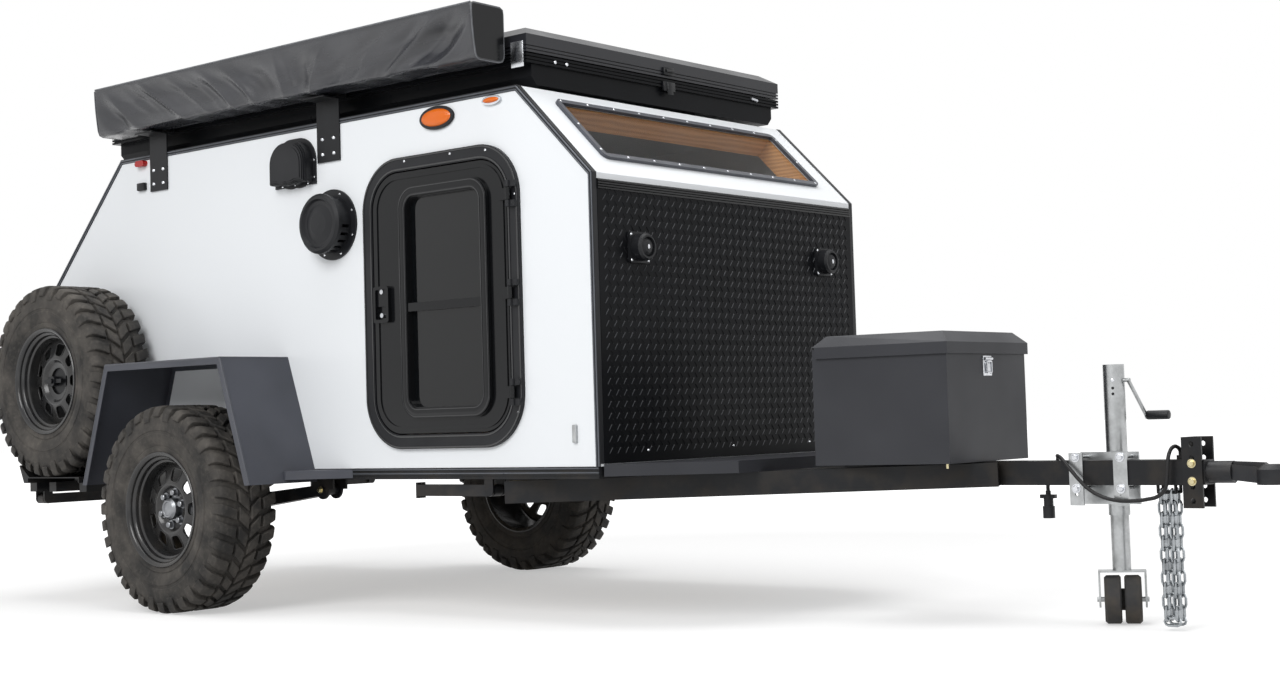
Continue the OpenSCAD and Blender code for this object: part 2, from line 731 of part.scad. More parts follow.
// Fender: bent sheet over the wheel, with a rolled outer lip and a flange on the wall
module fender_path(inset) {
  side_turn = atan2(fender_top_z - fender_low_z, fender_low_half - fender_top_half);
  low = fender_low_z - (inset > 0 ? 1 : 0);
  low_in = inset / sin(side_turn);
  top_in = inset * tan(side_turn / 2);
  polygon([
    [-fender_low_half + low_in, low],
    [-fender_top_half + top_in, fender_top_z - inset],
    [fender_top_half - top_in, fender_top_z - inset],
    [fender_low_half - low_in, low]
  ]);
}
step_l = 200;
step_out = 150;
step_h = 32;
module fender(side) color("#2b2d30") at_axle() on_side(side) {
  step_x = fender_low_half - fender_lip;
  step_y = -half_w - moulding_t;
  difference() {
    translate([0, 0, chassis_low_z + move_gap]) linear_extrude(step_h) polygon([
      [step_x, step_y], [step_x, step_y - step_out], [fender_low_half, step_y - step_out],
      [fender_low_half + step_l, step_y]]);
    across(-fender_y, 0) fender_path(fender_t / 2);
  }
  across(-fender_y, -half_w - moulding_t) difference() {
    fender_path(0);
    fender_path(fender_t);
  }
  across(-fender_y, -fender_y + fender_t) difference() {
    fender_path(0);
    fender_path(fender_lip);
  }
  across(-half_w - moulding_t, -half_w) difference() {
    intersection() {
      fender_path(0);
      translate([-fender_low_half, wall_low_z]) square([2 * fender_low_half, fender_top_z]);
    }
    fender_path(fender_lip);
  }
}

// Vents on the right wall: a hood of stepped layers [inset, reach], and a round vent with a slotted drum
hood_vent_x = 316;
hood_vent_l = 239;
hood_vent_z = 1599;
hood_vent_h = 183;
hood_vent_r = 95;
hood_layers = [[0, 6], [16, 38], [18, 45], [22, 50], [28, 53], [38, 55]];
module hood_vent() color("#202124") at_axle() translate([hood_vent_x, -half_w, hood_vent_z])
  for (layer = hood_layers) {
    inset = layer[0];
    across(-layer[1], 0) translate([inset, inset * 0.6])
      arch(hood_vent_l - 2 * inset, hood_vent_h - 1.6 * inset, hood_vent_r - inset * 0.8);
  }

round_vent_x = 645;
round_vent_z = 1435;
round_vent_r = 132;
round_vent_out = 80;
round_vent_slots = 11;
slot_w = 12;
module at_round_vent() translate([round_vent_x, -half_w, round_vent_z]) rotate([90, 0, 0]) children();
module round_vent() color("#202124") at_axle() at_round_vent() {
  drum_r = round_vent_r * 0.8;
  cap_z = round_vent_out - 22;
  cylinder(r = round_vent_r, h = 8);
  difference() {
    cylinder(r = drum_r, h = cap_z + 1);
    for (i = [0:round_vent_slots - 1]) rotate([0, 0, 180 + (i + 0.5) * 180 / round_vent_slots])
      translate([drum_r * 0.7, -slot_w / 2, 16]) cube([drum_r, slot_w, cap_z - 24]);
  }
  translate([0, 0, cap_z]) rotate_extrude() polygon([
    [0, 0], [drum_r + 6, 0], [drum_r + 6, 12], [drum_r - 4, 22], [drum_r - 14, 22],
    [drum_r - 20, 12], [drum_r - 34, 10], [drum_r * 0.4, 17], [0, 18]]);
}

// Lamps: [x, z, length, height] on each side wall
amber_places = [[1216, 1764, 172, 84], [1489, 1794, 90, 34]];
red_places = [[-546, 1796, 60, 24]];
lamp_out = 22;
module side_lamp(place) {
  r = place[3] / 2 - 0.1;
  top_z = roof_z - moulding_w - 2;
  z = min(place[1] - place[3] / 2, top_z - place[3]);
  translate([place[0] - place[2] / 2, -half_w, z])
    across(-lamp_out, 0) soft_rect(place[2], place[3], r);
}
module amber_lamps() color("#e88a1a") at_axle() for (side = [-1, 1]) on_side(side)
  for (place = amber_places) side_lamp(place);
tail_lamp = [150, 80, handle_out];
module red_lamps() color("#b01818") at_axle() {
  for (side = [-1, 1]) on_side(side) {
    for (place = red_places) side_lamp(place);
    translate([-body_back, -inner_w + wall_t, wall_low_z + wall_t])
      rotate([90, 0, -90]) translate([-tail_lamp[0], 0, 0]) linear_extrude(tail_lamp[2])
        soft_rect(tail_lamp[0], tail_lamp[1], 12);
  }
}
lamp_y = half_w - 217;
lamp_z = 1255;
lamp_base = 104;
lamp_plate = 10;
lamp_r = 46;
lamp_reach = 48;
module front_lamps() color("#141416") at_axle() for (y = [-lamp_y, lamp_y])
  translate([body_front + guard_t, y, lamp_z]) rotate([0, 90, 0]) {
    translate([-lamp_base / 2, -lamp_base / 2, 0]) linear_extrude(lamp_plate)
      soft_rect(lamp_base, lamp_base, lamp_plate);
    rotate_extrude() polygon([
      [0, 0], [lamp_r, 0], [lamp_r, lamp_reach - 8], [lamp_r - 6, lamp_reach], [lamp_r - 12, lamp_reach],
      [lamp_r - 14, lamp_reach - 8], [lamp_r * 0.4, lamp_reach], [0, lamp_reach + 3]]);
  }

// Awning brackets: wall plate, upright behind the bag and shelf under it
bracket_places = [[-489, 115], [567, 127]];
bracket_low_z = 1673;
bracket_t = 5;
awning_back_y = half_w - 27;
bag_lean = 42;
bag_corner = 18;
module awning_brackets() color("#17181a") at_axle() for (place = bracket_places) {
  x0 = place[0];
  x1 = place[0] + place[1];
  plate_y = half_w + moulding_t;
  shelf_z = awning_low_z - seat_gap;
  block([x0, -plate_y - bracket_t, bracket_low_z], [x1, -plate_y, shelf_z]);
  block([x0, -awning_back_y - awning_d + bag_lean + bag_corner, shelf_z - bracket_t],
    [x1, -awning_back_y + bracket_t + seat_gap, shelf_z]);
  block([x0, -awning_back_y + seat_gap, shelf_z - bracket_t],
    [x1, -awning_back_y + bracket_t + seat_gap, shelf_z + awning_h * 0.6]);
}
module awning_bag() color("#3a3c40") at_axle()
  translate([awning_front_x - awning_l, -awning_back_y - awning_d, awning_low_z])
    rotate([90, 0, 90]) linear_extrude(awning_l) polygon([
      [bag_lean + bag_corner, 0], [awning_d - bag_corner, 0], [awning_d, bag_corner],
      [awning_d, awning_h - bag_corner], [awning_d - bag_corner, awning_h], [bag_corner, awning_h],
      [0, awning_h - bag_corner], [bag_lean * 0.35, awning_h / 2], [bag_lean, bag_corner]]);

// Roof tent: tray-shaped base with a ribbed flange, folded mattress, and bevelled lid with a ribbed skirt
module tent_section(points) {
  translate([tent_back_x, tent_y, 0]) rotate([90, 0, 90]) linear_extrude(tent_l)
    polygon(concat(points, [for (i = [len(points) - 1:-1:0]) [-points[i][0], points[i][1]]]));
}
module tent_plan(inset, low, high) {
  block([tent_back_x + inset, tent_y - tent_half + inset, low],
    [tent_front_x - inset, tent_y + tent_half - inset, high]);
}
module rib_grooves(low) for (i = [0:rib_count - 2]) {
  groove_z = low + rib_h + i * (rib_h + rib_gap);
  difference() {
    tent_plan(-1, groove_z, groove_z + rib_gap);
    tent_plan(rib_in, groove_z - 1, groove_z + rib_gap + 1);
  }
}
module tent_hinge_places() {
  for (h = tent_hinges) translate([tent_hinge_x, tent_y + h * tent_half, tent_hinge_z]) children();
}
module tent_base() color("#1b1c1e") at_axle() {
  chamfer = 28;
  flange_z = tent_split_z - ribs_h;
  leaf_reach = hinge_r + move_gap + 1;
  difference() {
    union() {
      intersection() {
        tent_section([[tent_low_half, tent_base_z], [tent_half - tent_in, tent_base_z + chamfer],
          [tent_half - tent_in, tent_split_z]]);
        tent_plan(rib_in * 2, tent_base_z, tent_split_z);
      }
      tent_plan(0, flange_z, tent_split_z);
    }
    rib_grooves(flange_z);
    block([tent_back_x + 3 * tent_wall, tent_y - tent_low_half + tent_wall, tent_base_z + tent_wall],
      [tent_front_x - 3 * tent_wall, tent_y + tent_low_half - tent_wall, tent_split_z + 1]);
  }
  tent_hinge_places() {
    outer_knuckles();
    for (end = [-1, 1]) translate([0, end * (hinge_l - hinge_end) / 2, 0])
      block([0, -hinge_end / 2, -hinge_leaf], [leaf_reach, hinge_end / 2, -move_gap / 2]);
  }
  for (y = [-0.6, 0.6] * tent_half)
    block([tent_back_x + rail_end, tent_y + y - tent_in / 2, roof_z],
      [tent_front_x - rail_end, tent_y + y + tent_in / 2, tent_base_z]);
}
module tent_mattress() color("#8b8f94") at_axle() {
  gap = 3;
  side = tent_low_half - tent_wall - gap;
  end = 3 * tent_wall + gap;
  block([tent_back_x + end, tent_y - side, tent_base_z + tent_wall + seat_gap],
    [tent_front_x - end, tent_y + side, tent_split_z - tent_wall]);
}
module tent_lid() color("#1b1c1e") at_axle() {
  low = tent_split_z + move_gap;
  bevel = 34;
  bevel_in = 1.6 * bevel;
  groove_w = 60;
  groove_end = 150;
  leaf_reach = hinge_r + move_gap + 1;
  difference() {
    intersection() {
      tent_section([[tent_half, low], [tent_half, tent_top_z - bevel], [tent_half - bevel_in, tent_top_z]]);
      across(tent_y - tent_half - 1, tent_y + tent_half + 1) polygon([
        [tent_back_x, low], [tent_front_x, low], [tent_front_x, tent_top_z - bevel],
        [tent_front_x - bevel_in, tent_top_z], [tent_back_x + bevel_in, tent_top_z],
        [tent_back_x, tent_top_z - bevel]]);
    }
    rib_grooves(low);
    block([tent_back_x + tent_wall, tent_y - tent_low_half, low - 1],
      [tent_front_x - tent_wall, tent_y + tent_low_half, tent_top_z - bevel - 4]);
    for (i = [-1:1])
      block([tent_back_x + groove_end, tent_y + i * tent_half / 2 - groove_w / 2, tent_top_z - rib_in],
        [tent_front_x - groove_end, tent_y + i * tent_half / 2 + groove_w / 2, tent_top_z + 1]);
  }
  tent_hinge_places() difference() {
    union() {
      middle_knuckle();
      block([0, -hinge_mid / 2, move_gap / 2], [leaf_reach, hinge_mid / 2, hinge_leaf]);
    }
    pin_bore();
  }
}

// Wheel pieces, drawn round Z with the outboard side up
lug_deep = 16;
lug_reach = 62;
lug_side = 52;
lug_gap = 32;
module tyre_shape() {
  w = tyre_w / 2;
  difference() {
    rotate_extrude($fn = 96) polygon([
      [bead_r, -rim_half + flange_t + seat_gap], [bead_r, rim_half - flange_t - seat_gap],
      [rim_r + 2, rim_half - flange_t - seat_gap], [rim_r + 30, w - 4], [tyre_r - 90, w], [tyre_r - 45, w],
      [tyre_r - 12, w - 10], [tyre_r, w - 30], [tyre_r, 5], [tyre_r - lug_deep, 4], [tyre_r - lug_deep, -4],
      [tyre_r, -5], [tyre_r, -w + 30], [tyre_r - 12, -w + 10], [tyre_r - 45, -w],
      [tyre_r - 90, -w], [rim_r + 30, -w + 4], [rim_r + 2, -rim_half + flange_t + seat_gap]
    ]);
    for (side = [0, 1], i = [0:tyre_lugs - 1])
      mirror([0, 0, side]) rotate([90, 0, (i + side / 2) * 360 / tyre_lugs])
        linear_extrude(lug_gap, center = true) polygon([
          [tyre_r + 1, w - lug_reach], [tyre_r + 1, w + 1], [tyre_r - lug_side, w + 1],
          [tyre_r - lug_side, w - 5], [tyre_r - lug_deep, w - lug_deep], [tyre_r - lug_deep, w - lug_reach]]);
  }
}
disc_window = [58, 58, 16];
module rim_shape() {
  barrel_r = bead_r - seat_gap;
  barrel_in = barrel_r - 8;
  low = disc_y - disc_dish;
  difference() {
    rotate_extrude() polygon([
      [disc_bore, disc_y], [disc_bore + 60, disc_y], [barrel_r - 60, low], [barrel_in, low],
      [barrel_in, -rim_half], [rim_r, -rim_half], [rim_r, -rim_half + flange_t],
      [barrel_r, -rim_half + flange_t], [barrel_r, rim_half - flange_t], [rim_r, rim_half - flange_t],
      [rim_r, rim_half], [barrel_in, rim_half],
      [barrel_in, low + disc_t], [barrel_r - 58, low + disc_t], [disc_bore + 62, disc_y + disc_t],
      [disc_bore, disc_y + disc_t]
    ]);
    for (i = [0:disc_windows - 1]) rotate([0, 0, i * 360 / disc_windows])
      translate([barrel_in - 8 - disc_window[0], -disc_window[1] / 2, low - disc_dish])
        linear_extrude(3 * disc_dish) soft_rect(disc_window[0], disc_window[1], disc_window[2]);
  }
}
hub_flange = [74, 14];
hub_back = 60;
hub_cap = 40;
module hub_shape() {
  difference() {
    union() {
      translate([0, 0, disc_y - hub_flange[1]]) cylinder(r = hub_flange[0], h = hub_flange[1]);
      translate([0, 0, -hub_back]) cylinder(r = hub_r, h = disc_y + hub_back);
      translate([0, 0, disc_y]) rotate_extrude() polygon([
        [0, 0], [hub_r, 0], [hub_r, hub_cap - 10], [hub_r - 8, hub_cap], [hub_r - 14, hub_cap],
        [hub_r - 16, hub_cap - 3], [0, hub_cap - 3]]);
    }
    translate([0, 0, -hub_back - 1]) cylinder(r = spindle_r + pin_gap, h = hub_back + disc_y + 5);
  }
}
module tyre_right() color("#26231f") at_axle() wheel_frame(0, wheel_y, hub_z, -1) tyre_shape();
module tyre_left() color("#26231f") at_axle() wheel_frame(0, wheel_y, hub_z, 1) tyre_shape();
module rim_right() color("#161618") at_axle() wheel_frame(0, wheel_y, hub_z, -1) rim_shape();
module rim_left() color("#161618") at_axle() wheel_frame(0, wheel_y, hub_z, 1) rim_shape();
module hub_right() color("#77797c") at_axle() wheel_frame(0, wheel_y, hub_z, -1) hub_shape();
module hub_left() color("#77797c") at_axle() wheel_frame(0, wheel_y, hub_z, 1) hub_shape();

// Spare wheel beside the right wall, its carrier stud, wing nut and the cradle under it
spare_z = spare_low_z + tyre_r;
module spare_tyre() color("#26231f") at_axle() wheel_frame(-spare_back, spare_y, spare_z, -1) tyre_shape();
module spare_rim() color("#161618") at_axle() wheel_frame(-spare_back, spare_y, spare_z, -1) rim_shape();
carrier_plate = [220, 8];
tray_l = 400;
tray_w = 220;
tray_lip = 50;
module spare_carrier() color("#1d1e20") at_axle() {
  plate_y = spare_y + disc_y;
  nut_y = plate_y + disc_t;
  wheel_frame(-spare_back, 0, spare_z, -1) {
    translate([-carrier_plate[0] / 2, -carrier_plate[0] / 2, half_w])
      cube([carrier_plate[0], carrier_plate[0], carrier_plate[1]]);
    translate([0, 0, half_w]) cylinder(r = disc_bore - 10, h = plate_y - half_w - seat_gap);
    translate([0, 0, plate_y - carrier_plate[1] - seat_gap]) cylinder(r = disc_bore + 17, h = carrier_plate[1]);
    translate([0, 0, half_w]) cylinder(r = spindle_r / 2, h = nut_y - half_w + 5 * carrier_plate[1]);
    translate([-disc_bore - spindle_r / 2, -spindle_r, nut_y + seat_gap])
      cube([2 * disc_bore + spindle_r, 2 * spindle_r, carrier_plate[1]]);
    translate([0, 0, nut_y + carrier_plate[1]]) cylinder(r = spindle_r, h = 24);
    translate([-60, -8, nut_y + 2 * carrier_plate[1]]) cube([120, 16, 12]);
  }
  tray_low = chassis_low_z;
  tray_top = spare_low_z - seat_gap;
  tray_x = -spare_back - tray_l * 0.45;
  across(-spare_y - tray_w / 2, -spare_y + tray_w / 2) difference() {
    polygon([[tray_x, tray_low], [tray_x + tray_l, tray_low], [tray_x + tray_l, tray_top],
      [tray_x + 40, tray_top], [tray_x - 30, tray_top + tray_lip], [tray_x - 34, tray_top + tray_lip - 2]]);
    translate([tray_x + 30, tray_low - 1]) square([tray_l - 34, tray_top - tray_low - 3]);
  }
}

// Outriggers and pivot ears that carry the four swing-down legs
ear_t = 8;
leg_pin_r = 8;
module leg_ears(up) {
  for (y = [-leg_tube / 2 - move_gap - ear_t, leg_tube / 2 + move_gap])
    across(y, y + ear_t) {
      translate([-leg_tube / 2, 0]) square([leg_tube, up]);
      circle(leg_tube / 2);
    }
  rotate([90, 0, 0]) cylinder(r = leg_pin_r, h = leg_tube + 2 * (move_gap + ear_t), center = true);
}
module swing_leg(l) across(-leg_tube / 2, leg_tube / 2) difference() {
  union() {
    translate([-l, -leg_tube / 2]) square([l, leg_tube]);
    circle(leg_tube / 2);
    translate([-l - ear_t, -0.7 * leg_tube]) square([ear_t, 1.4 * leg_tube]);
  }
  circle(leg_pin_r + pin_gap);
}
module at_front_leg() translate([front_leg_x, -front_leg_y, front_leg_z]) children();
module at_rear_leg() translate([rear_leg_x, -rear_leg_y, rear_leg_z]) rotate([0, 0, -90]) children();
module leg_mounts() color("#1d1e20") at_axle() for (side = [-1, 1]) on_side(side) {
  for (x = side < 0 ? [rear_leg_x, -spare_back - tray_w / 2, -spare_back + tray_w / 2] : [rear_leg_x])
    block([x - outrigger_w / 2, -rear_leg_y - outrigger_w, chassis_low_z - outrigger_h],
      [x + outrigger_w / 2, -chassis_y + chassis_w, chassis_low_z - seat_gap]);
  at_rear_leg() leg_ears(chassis_low_z - outrigger_h - rear_leg_z);
  at_front_leg() leg_ears(chassis_low_z - front_leg_z - seat_gap);
}
module front_leg(side) color("#26272a") at_axle() on_side(side) at_front_leg() swing_leg(front_leg_l);
module rear_leg(side) color("#26272a") at_axle() on_side(side) at_rear_leg() swing_leg(rear_leg_l);

// Deck tray between the cabin and the toolbox
deck_rear_half = half_w - 17;
deck_front_half = half_w - 262;
deck_sheet = 4;
module deck_plan(inset) polygon([
  [body_front + seat_gap + inset, -deck_rear_half + inset],
  [deck_front_x - inset, -deck_front_half + inset],
  [deck_front_x - inset, deck_front_half - inset],
  [body_front + seat_gap + inset, deck_rear_half - inset]
]);
module deck() color("#2b2d30") at_axle() translate([0, 0, deck_low_z]) difference() {
  linear_extrude(deck_h) deck_plan(0);
  translate([0, 0, -1]) linear_extrude(deck_h - deck_sheet + 1) deck_plan(deck_sheet);
}

// Toolbox with tapered plan, open top, and its bevelled lid
module box_plan(grow) polygon([
  [box_rear_x - grow, -box_rear_half - grow], [box_front_x + grow, -box_front_half - grow],
  [box_front_x + grow, box_front_half + grow], [box_rear_x - grow, box_rear_half + grow]
]);
module toolbox() color("#2b2d30") at_axle() {
  difference() {
    translate([0, 0, box_low_z]) linear_extrude(box_h) box_plan(0);
    translate([0, 0, box_low_z + box_t]) linear_extrude(box_h) box_plan(-box_t);
  }
  for (y = lid_hinges * box_rear_half) translate([lid_hinge_x, y, lid_hinge_z]) {
    outer_knuckles();
    for (end = [-1, 1]) translate([0, end * (hinge_l - hinge_end) / 2, 0])
      block([-2, -hinge_end / 2, -2 * hinge_leaf], [box_rear_x - lid_hinge_x + 1, hinge_end / 2, 0]);
  }
}
lid_grow = move_gap + box_t;
module lid_plan(inset) polygon([
  [box_rear_x + lid_play + inset, -box_rear_half - lid_grow + inset],
  [box_front_x + lid_grow - inset, -box_front_half - lid_grow + inset],
  [box_front_x + lid_grow - inset, box_front_half + lid_grow - inset],
  [box_rear_x + lid_play + inset, box_rear_half + lid_grow - inset]
]);
module lid_form(inset) {
  low = box_top_z - lid_skirt;
  rim_z = box_top_z + move_gap;
  translate([0, 0, low]) linear_extrude(rim_z - low) lid_plan(inset);
  hull() {
    translate([0, 0, rim_z - 1]) linear_extrude(1) lid_plan(inset);
    translate([0, 0, rim_z + lid_bevel - 1]) linear_extrude(1) lid_plan(inset + lid_bevel);
  }
}
module toolbox_lid() color("#2b2d30") at_axle() {
  rim_z = box_top_z + move_gap;
  difference() {
    lid_form(0);
    translate([0, 0, -box_t]) lid_form(box_t);
    block([box_rear_x - 1, -body_w, box_low_z], [box_rear_x + lid_play + box_t + move_gap, body_w, rim_z]);
    translate([0, 0, box_top_z - lid_skirt - 1]) linear_extrude(lid_skirt) lid_plan(box_t);
  }
  for (y = lid_hinges * box_rear_half) translate([lid_hinge_x, y, lid_hinge_z]) difference() {
    union() {
      middle_knuckle();
      block([0, -hinge_mid / 2, rim_z - lid_hinge_z], [2 * hinge_leaf, hinge_mid / 2, rim_z - lid_hinge_z + 5]);
    }
    pin_bore();
  }
}

// Jack: swivel plate and straps on the tongue, outer tube with crank, sliding leg with fork, twin caster wheels
jack_x = tongue_front_x - jack_back;
jack_wall = 4;
jack_bore = jack_r - jack_wall;
jack_leg_top = jack_top_z - 25 - jack_travel;
jack_axle_r = 8;
jack_plate = 8;
strap_w = 46;
strap_t = 6;
strap_x = 74;
strap_over = 24;
strap_under = 62;
strap_bolt_r = 5;
crank_r = 6;
crank_drop = 50;
crank_arm = [0, 120, -112];
grip_r = 13;
grip_l = 75;
fork_t = 6;
fork_w = 52;
fork_half = jack_wheel_w + 2 * move_gap + fork_t / 2;
fork_top_z = jack_wheel_d + 16;
module jack_body() color("#c4c7c9") at_axle() {
  low = tongue_low_z - strap_under;
  high = tongue_top_z + strap_over;
  translate([jack_x, jack_y, 0]) difference() {
    translate([0, 0, jack_low_z]) cylinder(r = jack_r, h = jack_top_z - jack_low_z);
    translate([0, 0, jack_low_z - 1]) cylinder(r = jack_bore, h = jack_top_z - jack_low_z - 11);
  }
  plate_y = bar / 2 + jack_plate;
  block([jack_x - strap_x - strap_w / 2, bar / 2, low], [jack_x + strap_x + strap_w / 2, plate_y, high]);
  difference() {
    block([jack_x - jack_r, plate_y, tongue_low_z], [jack_x + jack_r, jack_y, tongue_top_z]);
    translate([jack_x, jack_y, tongue_low_z - 1]) cylinder(r = jack_bore + 1, h = bar + 2);
  }
  for (x = [jack_x - strap_x, jack_x + strap_x]) {
    difference() {
      block([x - strap_w / 2, -bar / 2 - strap_t, low], [x + strap_w / 2, -bar / 2, high]);
      for (z = [low + 34, low + 50])
        translate([x, 0, z]) rotate([90, 0, 0]) cylinder(r = strap_bolt_r, h = bar);
    }
    for (z = [tongue_low_z - 2 * strap_bolt_r, tongue_top_z + 2 * strap_bolt_r])
      translate([x, plate_y + strap_t, z]) rotate([90, 0, 0])
        cylinder(r = strap_bolt_r, h = bar + jack_plate + 3 * strap_t);
  }
  translate([jack_x + jack_r - jack_wall / 2, jack_y, jack_top_z - crank_drop]) {
    rotate([0, 90, 0]) cylinder(r = crank_r, h = strap_w / 2);
    translate([strap_w / 2 - crank_r, 0, 0]) {
      rotate([-atan2(crank_arm[1], crank_arm[2]), 0, 0]) cylinder(r = crank_r, h = norm(crank_arm));
      translate(crank_arm) sphere(crank_r);
      translate(crank_arm) rotate([0, 90, 0]) cylinder(r = grip_r, h = grip_l);
    }
  }
}
module at_caster() translate([jack_x, jack_y, 0]) rotate([0, 0, caster_turn]) children();
module jack_leg() color("#d7d9da") at_axle() at_caster() {
  wheel_r = jack_wheel_d / 2;
  translate([0, 0, fork_top_z]) cylinder(r = jack_bore - 0.5, h = jack_leg_top - fork_top_z);
  block([-fork_w / 2, -fork_half - fork_t, fork_top_z - fork_t], [fork_w / 2, fork_half + fork_t, fork_top_z]);
  for (y = [-fork_half - fork_t, fork_half]) {
    block([-fork_w / 2, y, wheel_r], [fork_w / 2, y + fork_t, fork_top_z]);
    translate([0, y + fork_t, wheel_r]) rotate([90, 0, 0]) cylinder(r = fork_w / 2, h = fork_t);
  }
  translate([0, fork_half + 2 * fork_t, wheel_r]) rotate([90, 0, 0])
    cylinder(r = jack_axle_r, h = 2 * fork_half + 4 * fork_t);
}
module jack_wheels() color("#17181a") at_axle() at_caster() {
  wheel_r = jack_wheel_d / 2;
  translate([0, 0, wheel_r]) rotate([90, 0, 0]) difference() {
    half = jack_wheel_w + move_gap / 2;
    rotate_extrude() polygon(concat(
      [[0, -half], [wheel_r * 0.45, -half], [wheel_r * 0.5, -half + 6], [wheel_r * 0.72, -half + 6],
        [wheel_r * 0.8, -half], [wheel_r - 7, -half], [wheel_r, -half + 8]],
      [[wheel_r, -2 * move_gap], [wheel_r - 6, -move_gap], [wheel_r * 0.45, -move_gap],
        [wheel_r * 0.45, move_gap], [wheel_r - 6, move_gap], [wheel_r, 2 * move_gap], [wheel_r, half - 8],
        [wheel_r - 7, half]],
      [[wheel_r * 0.8, half], [wheel_r * 0.72, half - 6], [wheel_r * 0.5, half - 6], [wheel_r * 0.45, half],
        [0, half]]
    ));
    cylinder(r = jack_axle_r + pin_gap, h = 4 * jack_wheel_w, center = true);
  }
}

// Safety chains: two doubled strands of interlocked links, hung from the tongue's staples
module chain_link(inner) {
  straight = inner / 2 + chain_wire - chain_bend;
  for (end = [0, 180]) rotate([0, 0, end]) translate([0, straight, 0])
    rotate_extrude(angle = 180, $fn = chain_bends) translate([chain_bend, 0])
      circle(chain_wire, $fn = chain_sides);
  for (x = [-1, 1] * chain_bend) translate([x, straight + 0.01, 0])
    rotate([90, 0, 0]) cylinder(r = chain_wire, h = 2 * straight + 0.02, $fn = chain_sides);
}
module safety_chains() color("#b9bbbd") at_axle() for (y = [-1, 1] * chain_y) {
  inner = chain_pitch - chain_weld;
  first_z = tongue_low_z - staple_h + staple_r + seat_gap - inner / 2;
  turn_z = first_z - (chain_links - 1) * chain_pitch - inner / 2 - chain_wire;
  for (x = [-1, 1] * chain_half, i = [0:chain_links - 1])
    translate([chain_x + x, y, first_z - i * chain_pitch]) rotate([0, 0, 90 * (i + 1)]) rotate([90, 0, 0])
      chain_link(inner);
  translate([chain_x, y, turn_z - chain_bend + 2 * chain_wire - chain_weld]) rotate([90, 90, 0])
    chain_link(2 * (chain_half + chain_wire - chain_weld));
}

// Wiring cord swept along its route, and the plug that hangs from it
function unit(v) = v / norm(v);
function cord_dir(i) = unit(cord_route[min(i + 1, len(cord_route) - 1)] - cord_route[max(i - 1, 0)]);
function cord_ring(i) =
  let (d = cord_dir(i), side = unit(cross(d, abs(d[1]) < 0.9 ? [0, 1, 0] : [1, 0, 0])), up = cross(side, d))
  [for (k = [0:cord_sides - 1]) cord_route[i] + cord_d / 2 *
    (cos(360 * k / cord_sides) * side + sin(360 * k / cord_sides) * up)];
module wiring_cord() color("#151517") at_axle() {
  rings = len(cord_route);
  last = (rings - 1) * cord_sides;
  polyhedron(
    points = [for (i = [0:rings - 1]) each cord_ring(i)],
    faces = concat(
      [[for (k = [0:cord_sides - 1]) k]],
      [for (i = [0:rings - 2], k = [0:cord_sides - 1])
        let (a = i * cord_sides + k, b = i * cord_sides + (k + 1) % cord_sides)
        [b, a, a + cord_sides, b + cord_sides]],
      [[for (k = [cord_sides - 1:-1:0]) last + k]]
    )
  );
}
plug_neck = 12;
plug_wide = 52;
plug_r = 19;
plug_l = 76;
module wiring_plug() color("#151517") at_axle() {
  end = cord_route[len(cord_route) - 1];
  translate(end) rotate([180, 0, 0]) {
    cylinder(r = cord_d * 0.7, h = plug_neck + 1);
    translate([-plug_wide / 2, -cord_d * 0.7, plug_neck]) cube([plug_wide, cord_d * 1.4, cord_d]);
    translate([0, 0, plug_neck]) cylinder(r = plug_r * 0.8, h = plug_l / 2);
    translate([0, 0, plug_neck + plug_l / 2 - 1]) cylinder(r = plug_r, h = plug_l / 2);
  }
}

chassis();
drawbar();
hitch_channel();
coupler();
suspension();
floor();
wall(-1);  // wall_right
wall(1);  // wall_left
front_panel();
stone_guard();
front_slope();
slope_window_frame();
slope_window_glass();
roof();
rear_panel();
edge_mouldings();
bottom_trim();
door_frame(-1);  // door_frame_right
door_frame(1);  // door_frame_left
fender(-1);  // fender_right
fender(1);  // fender_left
hood_vent();
round_vent();
amber_lamps();
red_lamps();
front_lamps();
awning_brackets();
awning_bag();
tent_base();
tent_mattress();
tent_lid();
spare_tyre();
spare_rim();
spare_carrier();
deck();
toolbox();
toolbox_lid();
jack_body();
jack_leg();
jack_wheels();
safety_chains();
wiring_cord();
wiring_plug();
leg_mounts();
front_leg(-1);  // front_leg_right
front_leg(1);  // front_leg_left
rear_leg(-1);  // rear_leg_right
rear_leg(1);  // rear_leg_left
tyre_right();
rim_right();
hub_right();
tyre_left();
rim_left();
hub_left();
door(-1);  // door_right
door_glass(-1);  // door_glass_right
door(1);  // door_left
door_glass(1);  // door_glass_left
hatch();
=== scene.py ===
import bpy
import json
from math import pi, sin, cos, tan, radians, hypot, atan2
from mathutils import Vector, Matrix, noise


